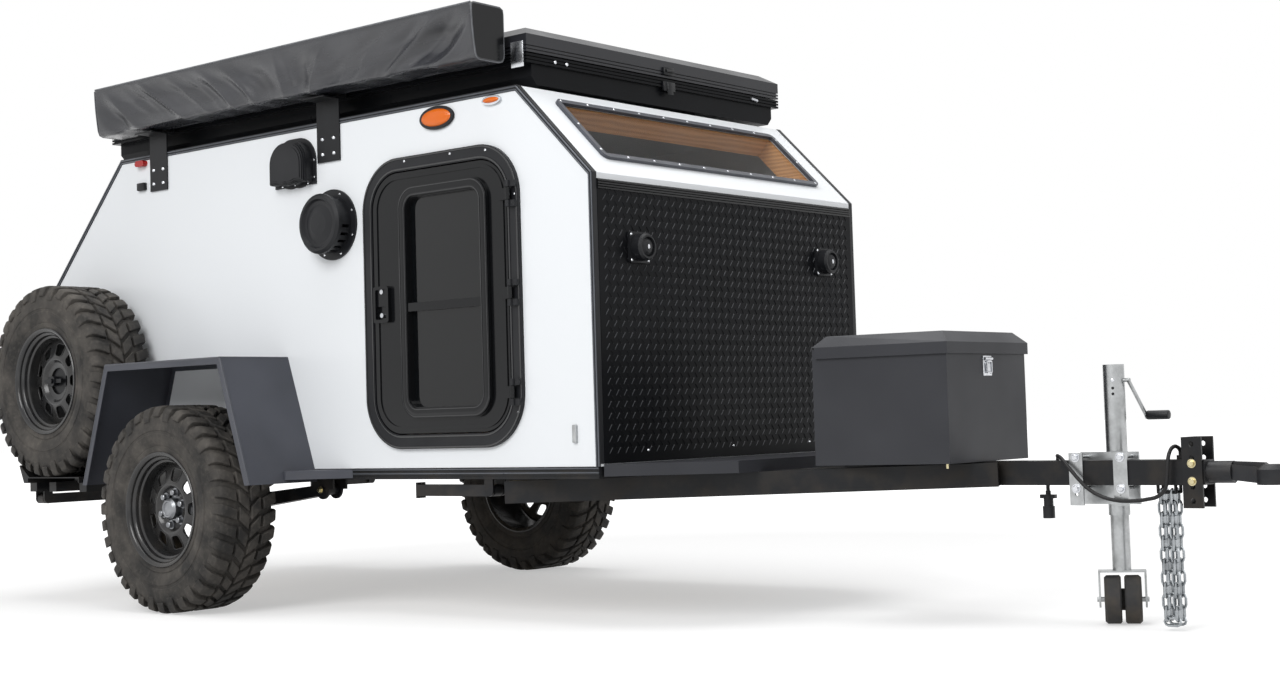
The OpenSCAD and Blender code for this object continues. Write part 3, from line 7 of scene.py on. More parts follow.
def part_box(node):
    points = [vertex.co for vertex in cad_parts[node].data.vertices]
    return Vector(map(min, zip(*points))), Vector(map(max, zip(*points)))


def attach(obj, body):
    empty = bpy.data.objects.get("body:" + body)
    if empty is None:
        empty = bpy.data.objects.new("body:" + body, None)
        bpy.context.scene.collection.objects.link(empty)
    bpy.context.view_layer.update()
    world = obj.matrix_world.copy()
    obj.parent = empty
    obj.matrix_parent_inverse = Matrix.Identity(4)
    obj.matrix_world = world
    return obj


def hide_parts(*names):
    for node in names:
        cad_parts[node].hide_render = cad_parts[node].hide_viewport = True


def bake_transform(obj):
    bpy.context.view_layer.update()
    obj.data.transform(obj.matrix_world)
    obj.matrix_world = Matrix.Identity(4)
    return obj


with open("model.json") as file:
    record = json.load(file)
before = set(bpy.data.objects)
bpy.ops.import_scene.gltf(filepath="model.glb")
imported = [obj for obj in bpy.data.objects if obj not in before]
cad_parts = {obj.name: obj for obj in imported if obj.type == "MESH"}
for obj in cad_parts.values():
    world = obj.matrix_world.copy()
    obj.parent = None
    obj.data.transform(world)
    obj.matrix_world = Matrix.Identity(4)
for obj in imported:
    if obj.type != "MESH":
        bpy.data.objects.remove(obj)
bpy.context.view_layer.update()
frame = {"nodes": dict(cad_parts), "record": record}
nodes = frame["nodes"]
scene = bpy.context.scene
print("frame loaded:", len(nodes), "nodes")


def nodeMiddle(name):
    low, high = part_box(name)
    return (low + high) / 2


def outward(y):
    # the way out from the trailer's middle
    return -1 if y < 0 else 1


axleX = nodeMiddle("tyre_right").x


def spot(x, y, z):
    # a place measured from the axle, as the CAD source measures it
    return Vector((x + axleX, y, z))


# camera, as the photograph was taken
camera = {
    "place": (axleX + 5.8943, -5.2300, 0.6886),
    "yaw": 129.368,
    "pitch": 3.0974,
    "roll": -1.7455,
    "focal": 1830.1,  # in pixels of the photograph
    "centre": (665.5, 316.6),
    "image": (1280, 683),
    "sensor": 36,
    "clipEnd": 200,
}


def addCamera():
    yaw, pitch, roll = (radians(camera[key]) for key in ("yaw", "pitch", "roll"))
    forward = Vector((cos(pitch) * cos(yaw), cos(pitch) * sin(yaw), sin(pitch)))
    level = Vector((sin(yaw), -cos(yaw), 0))
    upright = level.cross(forward)
    right = level * cos(roll) + upright * sin(roll)
    up = upright * cos(roll) - level * sin(roll)
    bpy.ops.object.camera_add()
    made = bpy.context.object
    turn = Matrix((right, up, -forward)).transposed().to_4x4()
    made.matrix_world = Matrix.Translation(camera["place"]) @ turn
    width, height = camera["image"]
    made.data.sensor_width = camera["sensor"]
    made.data.lens = camera["focal"] / width * camera["sensor"]
    made.data.shift_x = (width / 2 - camera["centre"][0]) / width
    made.data.shift_y = (camera["centre"][1] - height / 2) / width
    made.data.clip_end = camera["clipEnd"]
    scene.camera = made


addCamera()
scene.view_settings.view_transform = "Standard"
print("camera placed")


# shader maths: an expression on values adds its Math nodes
class Value:
    def __init__(self, paint, socket):
        self.paint, self.socket = paint, socket

    def maths(self, operation, first, second):
        return self.paint.node("Math", {"operation": operation}, {0: first, 1: second})

    def __add__(self, other):
        return self.maths("ADD", self, other)

    def __radd__(self, other):
        return self.maths("ADD", other, self)

    def __sub__(self, other):
        return self.maths("SUBTRACT", self, other)

    def __rsub__(self, other):
        return self.maths("SUBTRACT", other, self)

    def __mul__(self, other):
        return self.maths("MULTIPLY", self, other)

    def __rmul__(self, other):
        return self.maths("MULTIPLY", other, self)

    def __lt__(self, other):
        return self.maths("LESS_THAN", self, other)

    def __gt__(self, other):
        return self.maths("GREATER_THAN", self, other)


class Paint:
    def __init__(self, name, **fixed):
        self.material = bpy.data.materials.new(name)
        self.material.use_nodes = True
        self.tree = self.material.node_tree
        self.shader = self.tree.nodes["Principled BSDF"]
        self.place = self.node("TexCoord", {}, {}, "Object")
        self.set(**fixed)

    def node(self, kind, settings, sockets, out=0):
        made = self.tree.nodes.new("ShaderNode" + kind)
        for key, value in settings.items():
            setattr(made, key, value)
        for key, value in sockets.items():
            self.feed(made.inputs[key], value)
        return Value(self, made.outputs[out])

    def feed(self, socket, value):
        if isinstance(value, Value):
            self.tree.links.new(value.socket, socket)
        else:
            socket.default_value = value

    def set(self, **sockets):
        for key, value in sockets.items():
            self.feed(self.shader.inputs[key.replace("_", " ")], value)

    def speckle(self, scale, detail=4, where=None):
        sockets = {"Vector": where or self.place, "Scale": scale, "Detail": detail}
        return self.node("TexNoise", {}, sockets, "Fac")

    def stretched(self, scale):
        return self.node("Mapping", {}, {"Vector": self.place, "Scale": scale})

    def waves(self, direction, scale):
        sockets = {"Vector": self.place, "Scale": scale}
        return self.node("TexWave", {"bands_direction": direction}, sockets, "Fac")

    def axis(self, letter):
        return self.node("SeparateXYZ", {}, {0: self.place}, letter)

    def ramp(self, value, low, high, first=0.0, last=1.0):
        return self.node("MapRange", {"clamp": True}, {0: value, 1: low, 2: high, 3: first, 4: last})

    def tint(self, share, first, second):
        return self.node("Mix", {"data_type": "RGBA"}, {0: share, 6: first, 7: second}, 2)

    def bump(self, height, distance, strength):
        sockets = {"Height": height, "Distance": distance, "Strength": strength}
        self.set(Normal=self.node("Bump", {}, sockets))


def tone(red, green, blue):
    # a screen colour of 0 to 255, as the shader's linear light
    linear = [((c / 255 + 0.055) / 1.055) ** 2.4 if c > 10 else c / 255 / 12.92 for c in (red, green, blue)]
    return (*linear, 1)


def coat(colour, second, patch, rough, grain, height, **more):
    return {"colour": tone(*colour), "second": tone(*second), "patch": patch, "rough": rough, "grain": grain,
            "height": height, **more}


# painted, coated and moulded finishes, [colour, second colour, patches, roughness, grain, its height]
coats = {
    "white_skin": coat((236, 239, 242), (236, 239, 242), 40, (0.27, 0.27), 420, 0.00006, gloss=0.5),
    "grey_moulding": coat((98, 101, 107), (84, 87, 92), 5, (0.26, 0.38), 700, 0.00008, metal=0.5),
    "black_plastic": coat((27, 28, 31), (21, 22, 25), 9, (0.36, 0.50), 900, 0.00012, gloss=0.28),
    "diamond_plate": coat((20, 21, 24), (15, 16, 18), 6, (0.26, 0.36), 600, 0.00008, gloss=0.08),
    # lighter coat for the bars of one lean: a painted highlight
    "tread_bar_painted_highlight": coat((50, 52, 56), (38, 40, 44), 26, (0.24, 0.34), 600, 0.00005, gloss=0.3),
    "box_charcoal": coat((58, 59, 63), (50, 51, 55), 4, (0.30, 0.42), 620, 0.0002, gloss=0.2),
    "black_steel": coat((24, 25, 28), (18, 19, 21), 7, (0.28, 0.44), 500, 0.00012, gloss=0.24, dust=0.18),
    "coupler_black": coat((38, 39, 42), (26, 27, 30), 22, (0.32, 0.52), 420, 0.0002, gloss=0.28, dust=0.15),
    "charcoal_steel": coat((76, 78, 86), (66, 68, 75), 4, (0.34, 0.46), 620, 0.00024, gloss=0.3, dust=0.08),
    "door_black": coat((19, 20, 22), (14, 15, 17), 3, (0.12, 0.20), 700, 0.00005, gloss=0.3),
    "glossy_trim": coat((22, 23, 26), (18, 19, 22), 9, (0.12, 0.20), 900, 0.00004, gloss=0.8),
    "tent_shell": coat((36, 37, 42), (30, 31, 35), 4, (0.28, 0.40), 520, 0.00012, gloss=0.40),
    "rim_black": coat((33, 34, 36), (44, 43, 42), 9, (0.16, 0.28), 520, 0.00005, gloss=0.5, dust=0.08),
    "leg_steel": coat((34, 35, 38), (26, 27, 29), 9, (0.36, 0.5), 520, 0.00012, gloss=0.26, dust=0.25),
    "floor_board": coat((168, 150, 122), (146, 127, 100), 3, (0.5, 0.65), 260, 0.0002),
    "jack_tyre": coat((48, 48, 50), (62, 61, 59), 24, (0.60, 0.78), 420, 0.0003, gloss=0.3, dust=0.3),
    "tent_cloth": coat((112, 116, 112), (98, 102, 99), 14, (0.7, 0.85), 900, 0.0003),
    "cord_jacket": coat((24, 24, 26), (34, 33, 33), 26, (0.44, 0.6), 700, 0.0001, gloss=0.3),
    # piping grey, lighter than the cloth so that it paints a highlight line along the bag's edges
    "bag_piping_painted_highlight": coat((112, 114, 118), (90, 92, 96), 30, (0.3, 0.4), 900, 0.0002, gloss=0.4),
    # frame grey; on the fender edges its lighter tone is a painted highlight
    "frame_grey_and_edge_highlight": coat((80, 82, 89), (70, 72, 78), 9, (0.30, 0.42), 700, 0.0001, gloss=0.3),
}
patchwork = {"detail": 2, "colourStops": (0.25, 0.75), "roughStops": (0.3, 0.7), "strength": 0.6}
dust = {"tone": tone(126, 112, 94), "heights": (0.75, 0.15), "scale": 14, "detail": 8, "stops": (0.42, 0.75),
        "roughen": 0.4}


def coated(name):
    look, detail = coats[name], patchwork["detail"]
    paint = Paint(name, Metallic=look.get("metal", 0.0), Specular_IOR_Level=look.get("gloss", 0.4))
    patches = paint.speckle(look["patch"], detail)
    colour = paint.tint(paint.ramp(patches, *patchwork["colourStops"]), look["colour"], look["second"])
    rough = paint.ramp(patches, *patchwork["roughStops"], *look["rough"])
    if "dust" in look:  # a film that thickens towards the ground
        spread = paint.ramp(paint.speckle(dust["scale"], dust["detail"]), *dust["stops"])
        film = paint.ramp(paint.axis("Z"), *dust["heights"]) * spread * look["dust"]
        colour = paint.tint(film, colour, dust["tone"])
        rough = rough + film * dust["roughen"]
    paint.set(Base_Color=colour, Roughness=rough)
    paint.bump(paint.speckle(look["grain"], detail), look["height"], patchwork["strength"])
    return paint.material


# bare metals: one colour each, with spangle and dulled patches
metals = {
    "zinc_steel": dict(colour=tone(178, 180, 181), dull=tone(142, 144, 144), spangle=90, rough=(0.28, 0.40)),
    "bright_zinc": dict(colour=tone(214, 216, 220), dull=tone(168, 170, 174), spangle=160, rough=(0.18, 0.36)),
    "chain_zinc": dict(colour=tone(168, 172, 175), dull=tone(112, 116, 119), spangle=160, rough=(0.20, 0.40)),
    "gold_zinc": dict(colour=tone(206, 196, 160), dull=tone(166, 154, 116), spangle=160, rough=(0.22, 0.40)),
    "hub_grey": dict(colour=tone(150, 152, 155), dull=tone(104, 105, 108), spangle=60, rough=(0.32, 0.52)),
}
wear = {"scale": 18, "detail": 8, "stops": (0.45, 0.75), "share": 0.7, "flakes": 0.3, "height": 0.0003,
        "strength": 0.25}


def bareMetal(name):
    metal = metals[name]
    paint = Paint(name, Metallic=1.0)
    flakes = paint.node("TexVoronoi", {}, {"Vector": paint.place, "Scale": metal["spangle"]}, "Distance")
    worn = paint.speckle(wear["scale"], wear["detail"])
    share = paint.ramp(worn, *wear["stops"]) * wear["share"] + flakes * wear["flakes"]
    paint.set(Base_Color=paint.tint(share, metal["colour"], metal["dull"]),
              Roughness=paint.ramp(share, 0, 1, *metal["rough"]))
    paint.bump(worn, wear["height"], wear["strength"])
    return paint.material


# tyre rubber: broad dusty patches with finer ones over them, (scale, detail, stops, share)
rubber = {"side": tone(45, 44, 43), "dusty": tone(114, 109, 103), "rough": (0.72, 0.92),
          "broad": (9, 9, (0.38, 0.72), 0.55), "fine": (60, 6, (0.5, 0.8), 0.25),
          "gloss": 0.25, "grain": (340, 4), "height": 0.0006, "strength": 0.5}


def tyreRubber():
    paint = Paint("tyreRubber", Specular_IOR_Level=rubber["gloss"])
    broad, fine = (paint.ramp(paint.speckle(scale, detail), *stops) * share
                   for scale, detail, stops, share in (rubber["broad"], rubber["fine"]))
    dusty = broad + fine
    paint.set(Base_Color=paint.tint(dusty, rubber["side"], rubber["dusty"]),
              Roughness=paint.ramp(dusty, 0, 1, *rubber["rough"]))
    paint.bump(paint.speckle(*rubber["grain"]), rubber["height"], rubber["strength"])
    return paint.material


# window glass: a dark film that still lets the inside show a little
glazing = {
    "tinted_glass": dict(colour=tone(10, 12, 14), alpha=(0.88, 0.93)),
    "slope_glass": dict(colour=tone(40, 48, 54), alpha=(0.08, 0.14)),
}
smear = {"scale": 3, "detail": 6, "alphaStops": (0.3, 0.7), "roughStops": (0.3, 0.8), "rough": (0.015, 0.05)}


def windowGlass(name):
    pane = glazing[name]
    paint = Paint(name, Base_Color=pane["colour"], IOR=1.5, Specular_IOR_Level=0.5)
    film = paint.speckle(smear["scale"], smear["detail"])
    paint.set(Alpha=paint.ramp(film, *smear["alphaStops"], *pane["alpha"]),
              Roughness=paint.ramp(film, *smear["roughStops"], *smear["rough"]))
    return paint.material


# lamp lenses: ribbed, the ribs shaded with a darker tone of the lens
lenses = {"amber_lens": tone(236, 112, 8), "red_lens": tone(176, 22, 20)}
lensRibs = {"scale": 60, "shade": (0.55, 0.5, 0.5), "share": 0.35, "gloss": 0.4, "haze": 30,
            "hazeStops": (0.3, 0.7), "rough": (0.10, 0.22), "height": 0.0006, "strength": 0.6}


def lampLens(name):
    colour = lenses[name]
    shade = (*(part * share for part, share in zip(colour, lensRibs["shade"])), 1)
    paint = Paint(name, Specular_IOR_Level=lensRibs["gloss"])
    ribs = paint.waves("X", lensRibs["scale"])
    paint.set(Base_Color=paint.tint(ribs * lensRibs["share"], colour, shade),
              Roughness=paint.ramp(paint.speckle(lensRibs["haze"]), *lensRibs["hazeStops"], *lensRibs["rough"]))
    paint.bump(ribs, lensRibs["height"], lensRibs["strength"])
    return paint.material


# awning cover: coated cloth, woven both ways, chafed along its length and softly creased
cover = {"colour": tone(50, 51, 56), "second": tone(36, 37, 41), "rough": (0.22, 0.32), "gloss": 0.7,
         "weave": 99.5223, "weaveTint": 0.12, "weaveHeight": 0.4, "chafe": (5, 8), "chafeStretch": (1, 3, 3),
         "tintStops": (0.35, 0.7), "roughStops": (0.3, 0.7), "crease": (26, 6), "creaseHeight": 2.5,
         "height": 0.0009, "strength": 0.3}


def coverCloth():
    paint = Paint("awningCover", Specular_IOR_Level=cover["gloss"])
    weave = paint.waves("X", cover["weave"]) + paint.waves("Z", cover["weave"])
    chafe = paint.speckle(*cover["chafe"], paint.stretched(cover["chafeStretch"]))
    colour = paint.tint(paint.ramp(chafe, *cover["tintStops"]), cover["colour"], cover["second"])
    paint.set(Base_Color=paint.tint(weave * cover["weaveTint"], colour, cover["second"]),
              Roughness=paint.ramp(chafe, *cover["roughStops"], *cover["rough"]))
    relief = weave * cover["weaveHeight"] + paint.speckle(*cover["crease"]) * cover["creaseHeight"]
    paint.bump(relief, cover["height"], cover["strength"])
    return paint.material


# mattress cloth: a diagonal weave with flecks
padding = {"colour": tone(140, 143, 147), "second": tone(118, 121, 126), "sheen": 0.3, "weave": 120,
           "weaveShare": 0.3, "fleck": 40, "fleckShare": 0.6, "rough": (0.75, 0.9), "height": 0.0006,
           "strength": 0.5}


def mattressCloth():
    paint = Paint("mattressCloth", Sheen_Weight=padding["sheen"])
    weave = paint.waves("DIAGONAL", padding["weave"])
    share = paint.speckle(padding["fleck"]) * padding["fleckShare"] + weave * padding["weaveShare"]
    paint.set(Base_Color=paint.tint(share, padding["colour"], padding["second"]),
              Roughness=paint.ramp(weave, 0, 1, *padding["rough"]))
    paint.bump(weave, padding["height"], padding["strength"])
    return paint.material


# plywood: long grain rings
plywood = {"colour": tone(226, 172, 116), "grain": tone(190, 136, 86), "share": 0.8, "stretch": (0.6, 0.6, 7),
           "rings": {"Scale": 3, "Distortion": 7, "Detail": 4}, "rough": (0.42, 0.58), "height": 0.0004,
           "strength": 0.4}


def plywoodGrain():
    paint = Paint("plywoodGrain")
    rings = paint.node("TexWave", {"wave_type": "BANDS", "bands_direction": "Z"},
                       {"Vector": paint.stretched(plywood["stretch"]), **plywood["rings"]}, "Fac")
    paint.set(Base_Color=paint.tint(rings * plywood["share"], plywood["colour"], plywood["grain"]),
              Roughness=paint.ramp(rings, 0, 1, *plywood["rough"]))
    paint.bump(rings, plywood["height"], plywood["strength"])
    return paint.material


# hatch: white skin with black handles, which stand out behind this face, measured from the axle
handleFace = -1.2503


def hatchSkin():
    skin, handle = coats["white_skin"], coats["black_plastic"]
    paint = Paint("hatchSkin", Specular_IOR_Level=skin["gloss"])
    share = paint.axis("X") < axleX + handleFace
    paint.set(Base_Color=paint.tint(share, skin["colour"], handle["colour"]),
              Roughness=paint.ramp(share, 0, 1, skin["rough"][0], handle["rough"][0]))
    paint.bump(paint.speckle(skin["grain"], patchwork["detail"]), skin["height"], patchwork["strength"])
    return paint.material


finish = {name: coated(name) for name in coats}
finish.update({name: bareMetal(name) for name in metals})
finish.update({name: windowGlass(name) for name in glazing})
finish.update({name: lampLens(name) for name in lenses})
finish.update(tyre_rubber=tyreRubber(), awning_cover=coverCloth(), mattress_cloth=mattressCloth(),
              plywood=plywoodGrain(), hatch_skin=hatchSkin())
print("finishes mixed:", len(finish))

# every CAD node takes the finish of its record slot, apart from these
ownFinish = {
    "slope_window_glass": "slope_glass",
    "slope_window_frame": "frame_grey_and_edge_highlight",
    "safety_chains": "chain_zinc",
    "suspension": "black_steel",
    "bottom_trim": "black_steel",
    "edge_mouldings": "black_plastic",
    "tent_base": "diamond_plate",
    "hatch": "hatch_skin",
    "deck": "box_charcoal",
    "toolbox": "box_charcoal",
    "toolbox_lid": "box_charcoal",
}


def dressNodes():
    slotOf = {part["node"]: part["material_slot"] for part in frame["record"]["subparts"]}
    for name, obj in nodes.items():
        obj.data.materials.clear()
        obj.data.materials.append(finish[ownFinish.get(name) or slotOf[name]])


dressNodes()
bpy.ops.object.select_all(action="DESELECT")
print("nodes dressed")


# small tools for modelling
def deselect():
    if bpy.context.object and bpy.context.object.mode != "OBJECT":
        bpy.ops.object.mode_set(mode="OBJECT")
    bpy.ops.object.select_all(action="DESELECT")


def pick(*objs):
    deselect()
    for obj in objs:
        obj.select_set(True)
    bpy.context.view_layer.objects.active = objs[0]


def settle(obj, matrix=None):
    if matrix is not None:
        obj.matrix_world = matrix @ obj.matrix_world
    pick(obj)
    bpy.ops.object.transform_apply(location=True, rotation=True, scale=True)
    return obj


def edit(obj):
    pick(obj)
    bpy.ops.object.mode_set(mode="EDIT")
    bpy.ops.mesh.select_all(action="SELECT")


weldGap = 0.00002  # vertices closer than this become one


def closeUp(obj):
    edit(obj)
    bpy.ops.mesh.remove_doubles(threshold=weldGap)
    bpy.ops.mesh.fill_holes(sides=0)
    bpy.ops.mesh.normals_make_consistent(inside=False)
    bpy.ops.object.mode_set(mode="OBJECT")
    return obj


def block(low, high, bevel=0.0):
    # a box between two corners, its edges rounded
    low, high = Vector(low), Vector(high)
    deselect()
    bpy.ops.mesh.primitive_cube_add(size=1, location=(low + high) / 2)
    obj = bpy.context.object
    obj.scale = high - low
    settle(obj)
    if bevel:
        edit(obj)
        bpy.ops.mesh.bevel(offset=bevel, segments=2, affect="EDGES")
        bpy.ops.object.mode_set(mode="OBJECT")
    return obj


def turned(profile, steps, angle=2 * pi):
    # a closed profile of (radius, height) points, spun round Z
    deselect()
    bpy.ops.mesh.primitive_circle_add(vertices=len(profile), radius=1)
    obj = bpy.context.object
    for vertex, (radius, height) in zip(obj.data.vertices, profile):
        vertex.co = (radius, 0, height)
    edit(obj)
    bpy.ops.mesh.spin(steps=steps, angle=angle, center=(0, 0, 0), axis=(0, 0, 1))
    return closeUp(obj)


def flat(outline):
    # a face with this outline in X and Y, left in edit mode
    deselect()
    bpy.ops.mesh.primitive_circle_add(vertices=len(outline), radius=1, fill_type="NGON")
    obj = bpy.context.object
    for vertex, (x, y) in zip(obj.data.vertices, outline):
        vertex.co = (x, y, 0)
    edit(obj)
    return obj


def prism(outline, depth):
    # a flat outline, given a depth along Z
    obj = flat(outline)
    bpy.ops.mesh.extrude_region_move(TRANSFORM_OT_translate={"value": (0, 0, depth)})
    return closeUp(obj)


def roundedOutline(width, height, radius, steps=6):
    # the outline of a rectangle with round corners, round its middle
    points = []
    for quarter in range(4):
        mx = (width / 2 - radius) * (1 if quarter in (0, 3) else -1)
        my = (height / 2 - radius) * (1 if quarter < 2 else -1)
        for step in range(steps + 1):
            angle = pi / 2 * (quarter + step / steps)
            points.append((mx + radius * cos(angle), my + radius * sin(angle)))
    return points


def softCorners(corners, steps=5):
    # an outline whose corners, each (x, y, reach), are rounded off over their reach
    points = []
    for k, (x, y, reach) in enumerate(corners):
        here = Vector((x, y))
        before = (Vector(corners[k - 1][:2]) - here).normalized() * reach
        after = (Vector(corners[(k + 1) % len(corners)][:2]) - here).normalized() * reach
        shares = [step / steps for step in range(steps + 1)]
        points += [here + before * (1 - share) ** 2 + after * share ** 2 for share in shares]
    return points


def evenSteps(loop, count):
    # points at equal steps round a closed outline
    loop = [*loop, loop[0]]
    lengths = [0.0]
    for first, second in zip(loop, loop[1:]):
        lengths.append(lengths[-1] + hypot(second[0] - first[0], second[1] - first[1]))
    points, at = [], 0
    for k in range(count):
        target = lengths[-1] * k / count
        while lengths[at + 1] < target:
            at += 1
        share = (target - lengths[at]) / (lengths[at + 1] - lengths[at] or 1)
        points.append(tuple(a + (b - a) * share for a, b in zip(loop[at], loop[at + 1])))
    return points


def evenOutline(width, height, radius, count):
    return evenSteps(roundedOutline(width, height, radius, 10), count)


def ring(outline, inset, depth):
    # a flat ring: the outline's border of one width, given a depth along Z
    obj = flat(outline)
    bpy.ops.mesh.inset(thickness=inset)
    bpy.ops.mesh.delete(type="FACE")
    bpy.ops.mesh.select_all(action="SELECT")
    bpy.ops.mesh.extrude_region_move(TRANSFORM_OT_translate={"value": (0, 0, depth)})
    bpy.ops.mesh.select_all(action="SELECT")
    bpy.ops.mesh.normals_make_consistent(inside=False)
    bpy.ops.object.mode_set(mode="OBJECT")
    return obj


def modify(obj, kind, **settings):
    pick(obj)
    made = obj.modifiers.new(kind.lower(), kind)
    for key, value in settings.items():
        setattr(made, key, value)
    bpy.ops.object.modifier_apply(modifier=made.name)
    return obj


def rounded(obj, width, segments=2, angle=50):
    # bevels the edges that are sharper than the angle
    return modify(obj, "BEVEL", width=width, segments=segments, limit_method="ANGLE",
                  angle_limit=radians(angle))


def duplicate(obj):
    other = obj.copy()
    other.data = obj.data.copy()
    scene.collection.objects.link(other)
    return other


def copies(obj, matrices):
    # one joined piece from copies of obj, each with its own mesh
    made = []
    for matrix in matrices:
        other = duplicate(obj)
        other.matrix_world = matrix @ obj.matrix_world
        made.append(other)
    bpy.data.objects.remove(obj)
    return joined(*made)


def joined(*objs):
    pick(*objs)
    if len(objs) > 1:
        bpy.ops.object.join()
    obj = bpy.context.object
    bpy.ops.object.transform_apply(location=True, rotation=True, scale=True)
    return obj


def fit(obj, name, body, coat, smooth=35):
    # names the finished piece, gives it its coat and sets it on its body
    obj.name = name
    obj.data.name = name
    obj.data.materials.clear()
    obj.data.materials.append(finish[coat])
    pick(obj)
    if smooth:
        bpy.ops.object.shade_smooth_by_angle(angle=radians(smooth))
    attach(obj, body)
    deselect()
    return obj


def facing(direction, place, spin=0.0):
    # a placing whose Z points along direction
    turn = Vector(direction).normalized().to_track_quat("Z", "Y").to_matrix().to_4x4()
    return Matrix.Translation(place) @ turn @ Matrix.Rotation(spin, 4, "Z")


def onSide(side, x, out, z):
    # a placing that faces out to the right, -1, or the left, 1
    return facing((0, side, 0), spot(x, side * out, z))


def onFront(x, y, z):
    return facing((1, 0, 0), spot(x, y, z))


def screwHead(radius, dome=0.5):
    deselect()
    bpy.ops.mesh.primitive_uv_sphere_add(segments=12, ring_count=6, radius=radius)
    obj = bpy.context.object
    obj.scale.z = dome
    return settle(obj)


washer = {"wide": 1.4, "thick": 0.24, "bevel": 0.14}  # shares of the head's radius and height


def hexHead(radius, high):
    # a hexagon head on its washer
    deselect()
    bpy.ops.mesh.primitive_cylinder_add(vertices=6, radius=radius, depth=high, location=(0, 0, high / 2))
    head = rounded(bpy.context.object, radius * washer["bevel"], 1, 30)
    thick = high * washer["thick"]
    deselect()
    bpy.ops.mesh.primitive_cylinder_add(vertices=24, radius=radius * washer["wide"], depth=thick,
                                        location=(0, 0, thick / 2))
    return joined(head, bpy.context.object)


def rod(first, second, radius, sides=12):
    # a round bar between two points
    first, second = Vector(first), Vector(second)
    deselect()
    bpy.ops.mesh.primitive_cylinder_add(vertices=sides, radius=radius, depth=(second - first).length)
    return settle(bpy.context.object, facing(second - first, (first + second) / 2))


def rail(points, radius, sides):
    # round bars from each point to the next
    return [rod(first, second, radius, sides) for first, second in zip(points, points[1:])]


def frontBlock(place, out, half, up, bevel):
    # a box on a face that looks forward: its reach out, half width and reach up from a place
    x, y, z = place
    return block(spot(x + out[0], y - half, z + up[0]), spot(x + out[1], y + half, z + up[1]), bevel)


def capitals(name):
    return name.title().replace("_", "")


def onWheels(form, wheels, ending, coat, smooth):
    # a copy of the form in the place of each wheel's CAD node
    for name, body in wheels.items():
        middle = nodeMiddle(name)
        obj = settle(duplicate(form), facing((0, outward(middle.y), 0), middle))
        fit(obj, capitals(name) + ending, body, coat, smooth)
        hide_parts(name)
    bpy.data.objects.remove(form)


doors = {-1: "door_right", 1: "door_left"}
bothSides = tuple(doors)

# wiring cord: the route of the CAD solid, from the gland on the tongue to the hanging plug
cord = {
    "route": [
        (3.585, 0, 0.524), (3.585, -0.002, 0.538), (3.582, -0.016, 0.549), (3.578, -0.036, 0.549),
        (3.574, -0.054, 0.533), (3.571, -0.062, 0.505), (3.567, -0.064, 0.460), (3.560, -0.065, 0.425),
        (3.540, -0.066, 0.405), (3.500, -0.066, 0.394), (3.450, -0.066, 0.389), (3.400, -0.066, 0.391),
        (3.350, -0.066, 0.404), (3.310, -0.066, 0.427), (3.280, -0.065, 0.455), (3.255, -0.063, 0.482),
        (3.232, -0.058, 0.506), (3.212, -0.046, 0.521), (3.195, -0.028, 0.525), (3.180, -0.005, 0.525),
        (3.168, 0.020, 0.525), (3.156, 0.044, 0.518), (3.145, 0.058, 0.497), (3.129, 0.062, 0.468),
        (3.114, 0.062, 0.444), (3.108, 0.062, 0.428), (3.108, 0.062, 0.413),
    ],
    "diameter": 0.012,
    "length": 0.828,
}


def wiringCord():
    points = [spot(*point) for point in cord["route"]]
    curve = bpy.data.curves.new("wiringCord", "CURVE")
    curve.dimensions = "3D"
    curve.bevel_depth = cord["diameter"] / 2
    curve.bevel_resolution = 3
    curve.resolution_u = 6
    curve.use_fill_caps = True
    spline = curve.splines.new("BEZIER")
    spline.bezier_points.add(len(points) - 1)
    for knot, point in zip(spline.bezier_points, points):
        knot.co = point
        knot.handle_left_type = knot.handle_right_type = "AUTO"
    obj = bpy.data.objects.new("wiringCord", curve)
    scene.collection.objects.link(obj)
    curve.materials.append(finish["cord_jacket"])
    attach(obj, "trailer")
    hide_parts("wiring_cord")


wiringCord()
print("cord laid")

# tyres: smooth carcass, with tread blocks and shoulder lugs set round it
tyre = {
    "radius": 0.393,
    "width": 0.265,
    "tread": 0.015,
    "crown": 0.020,  # half of the flat under the tread
    "side": ((0.001, 0.045), (0.007, 0.026), (0.020, 0.012), (0.038, 0.005), (0.070, 0.001), (0.078, 0.001),
             (0.081, 0.0035), (0.090, 0.0035), (0.093, 0.001), (0.112, 0.003), (0.128, 0.008), (0.138, 0.013),
             (0.142, 0.010), (0.150, 0.011), (0.158, 0.014)),  # down from the tread's base, in from the side
    "rimSeat": (0.206, 0.0146),
    "pitches": 18,  # each with two blocks in every row
    "foot": 0.004,  # blocks start this far inside the carcass
    "block": dict(inner=(0.004, 0.005), outer=(0.048, 0.050), share=0.70, lean=2.2),
    "lug": dict(inner=(0.060, 0.061), share=0.60, lean=0.9, shift=0.22, reach=(0.026, 0.044),
                crest=((0.001, 0.030), (0.007, 0.012)), flank=(0.012, 0.003),
                tip=((0.0, 0.0005), (0.004, 0.010)), under=((0.022, 0.020), (0.006, 0.040))),
    "bevel": 0.0022,
    "steps": 96,
    "blockSteps": 3,
    "nodes": {"tyre_right": "wheel_right", "tyre_left": "wheel_left", "spare_tyre": "trailer"},
}


def tyreBlock(section, span, start, lean):
    # part of a turn of one cross-section, leaning along the tread
    obj = turned(section, tyre["blockSteps"], span)
    for vertex in obj.data.vertices:
        turn = start + lean * vertex.co.z
        x, y = vertex.co.x, vertex.co.y
        vertex.co.x = x * cos(turn) - y * sin(turn)
        vertex.co.y = x * sin(turn) + y * cos(turn)
    return obj


def blockSection():
    row, top = tyre["block"], tyre["radius"]
    low = top - tyre["tread"] - tyre["foot"]
    return [(low, row["inner"][0]), (top, row["inner"][1]), (top, row["outer"][0]), (low, row["outer"][1])]


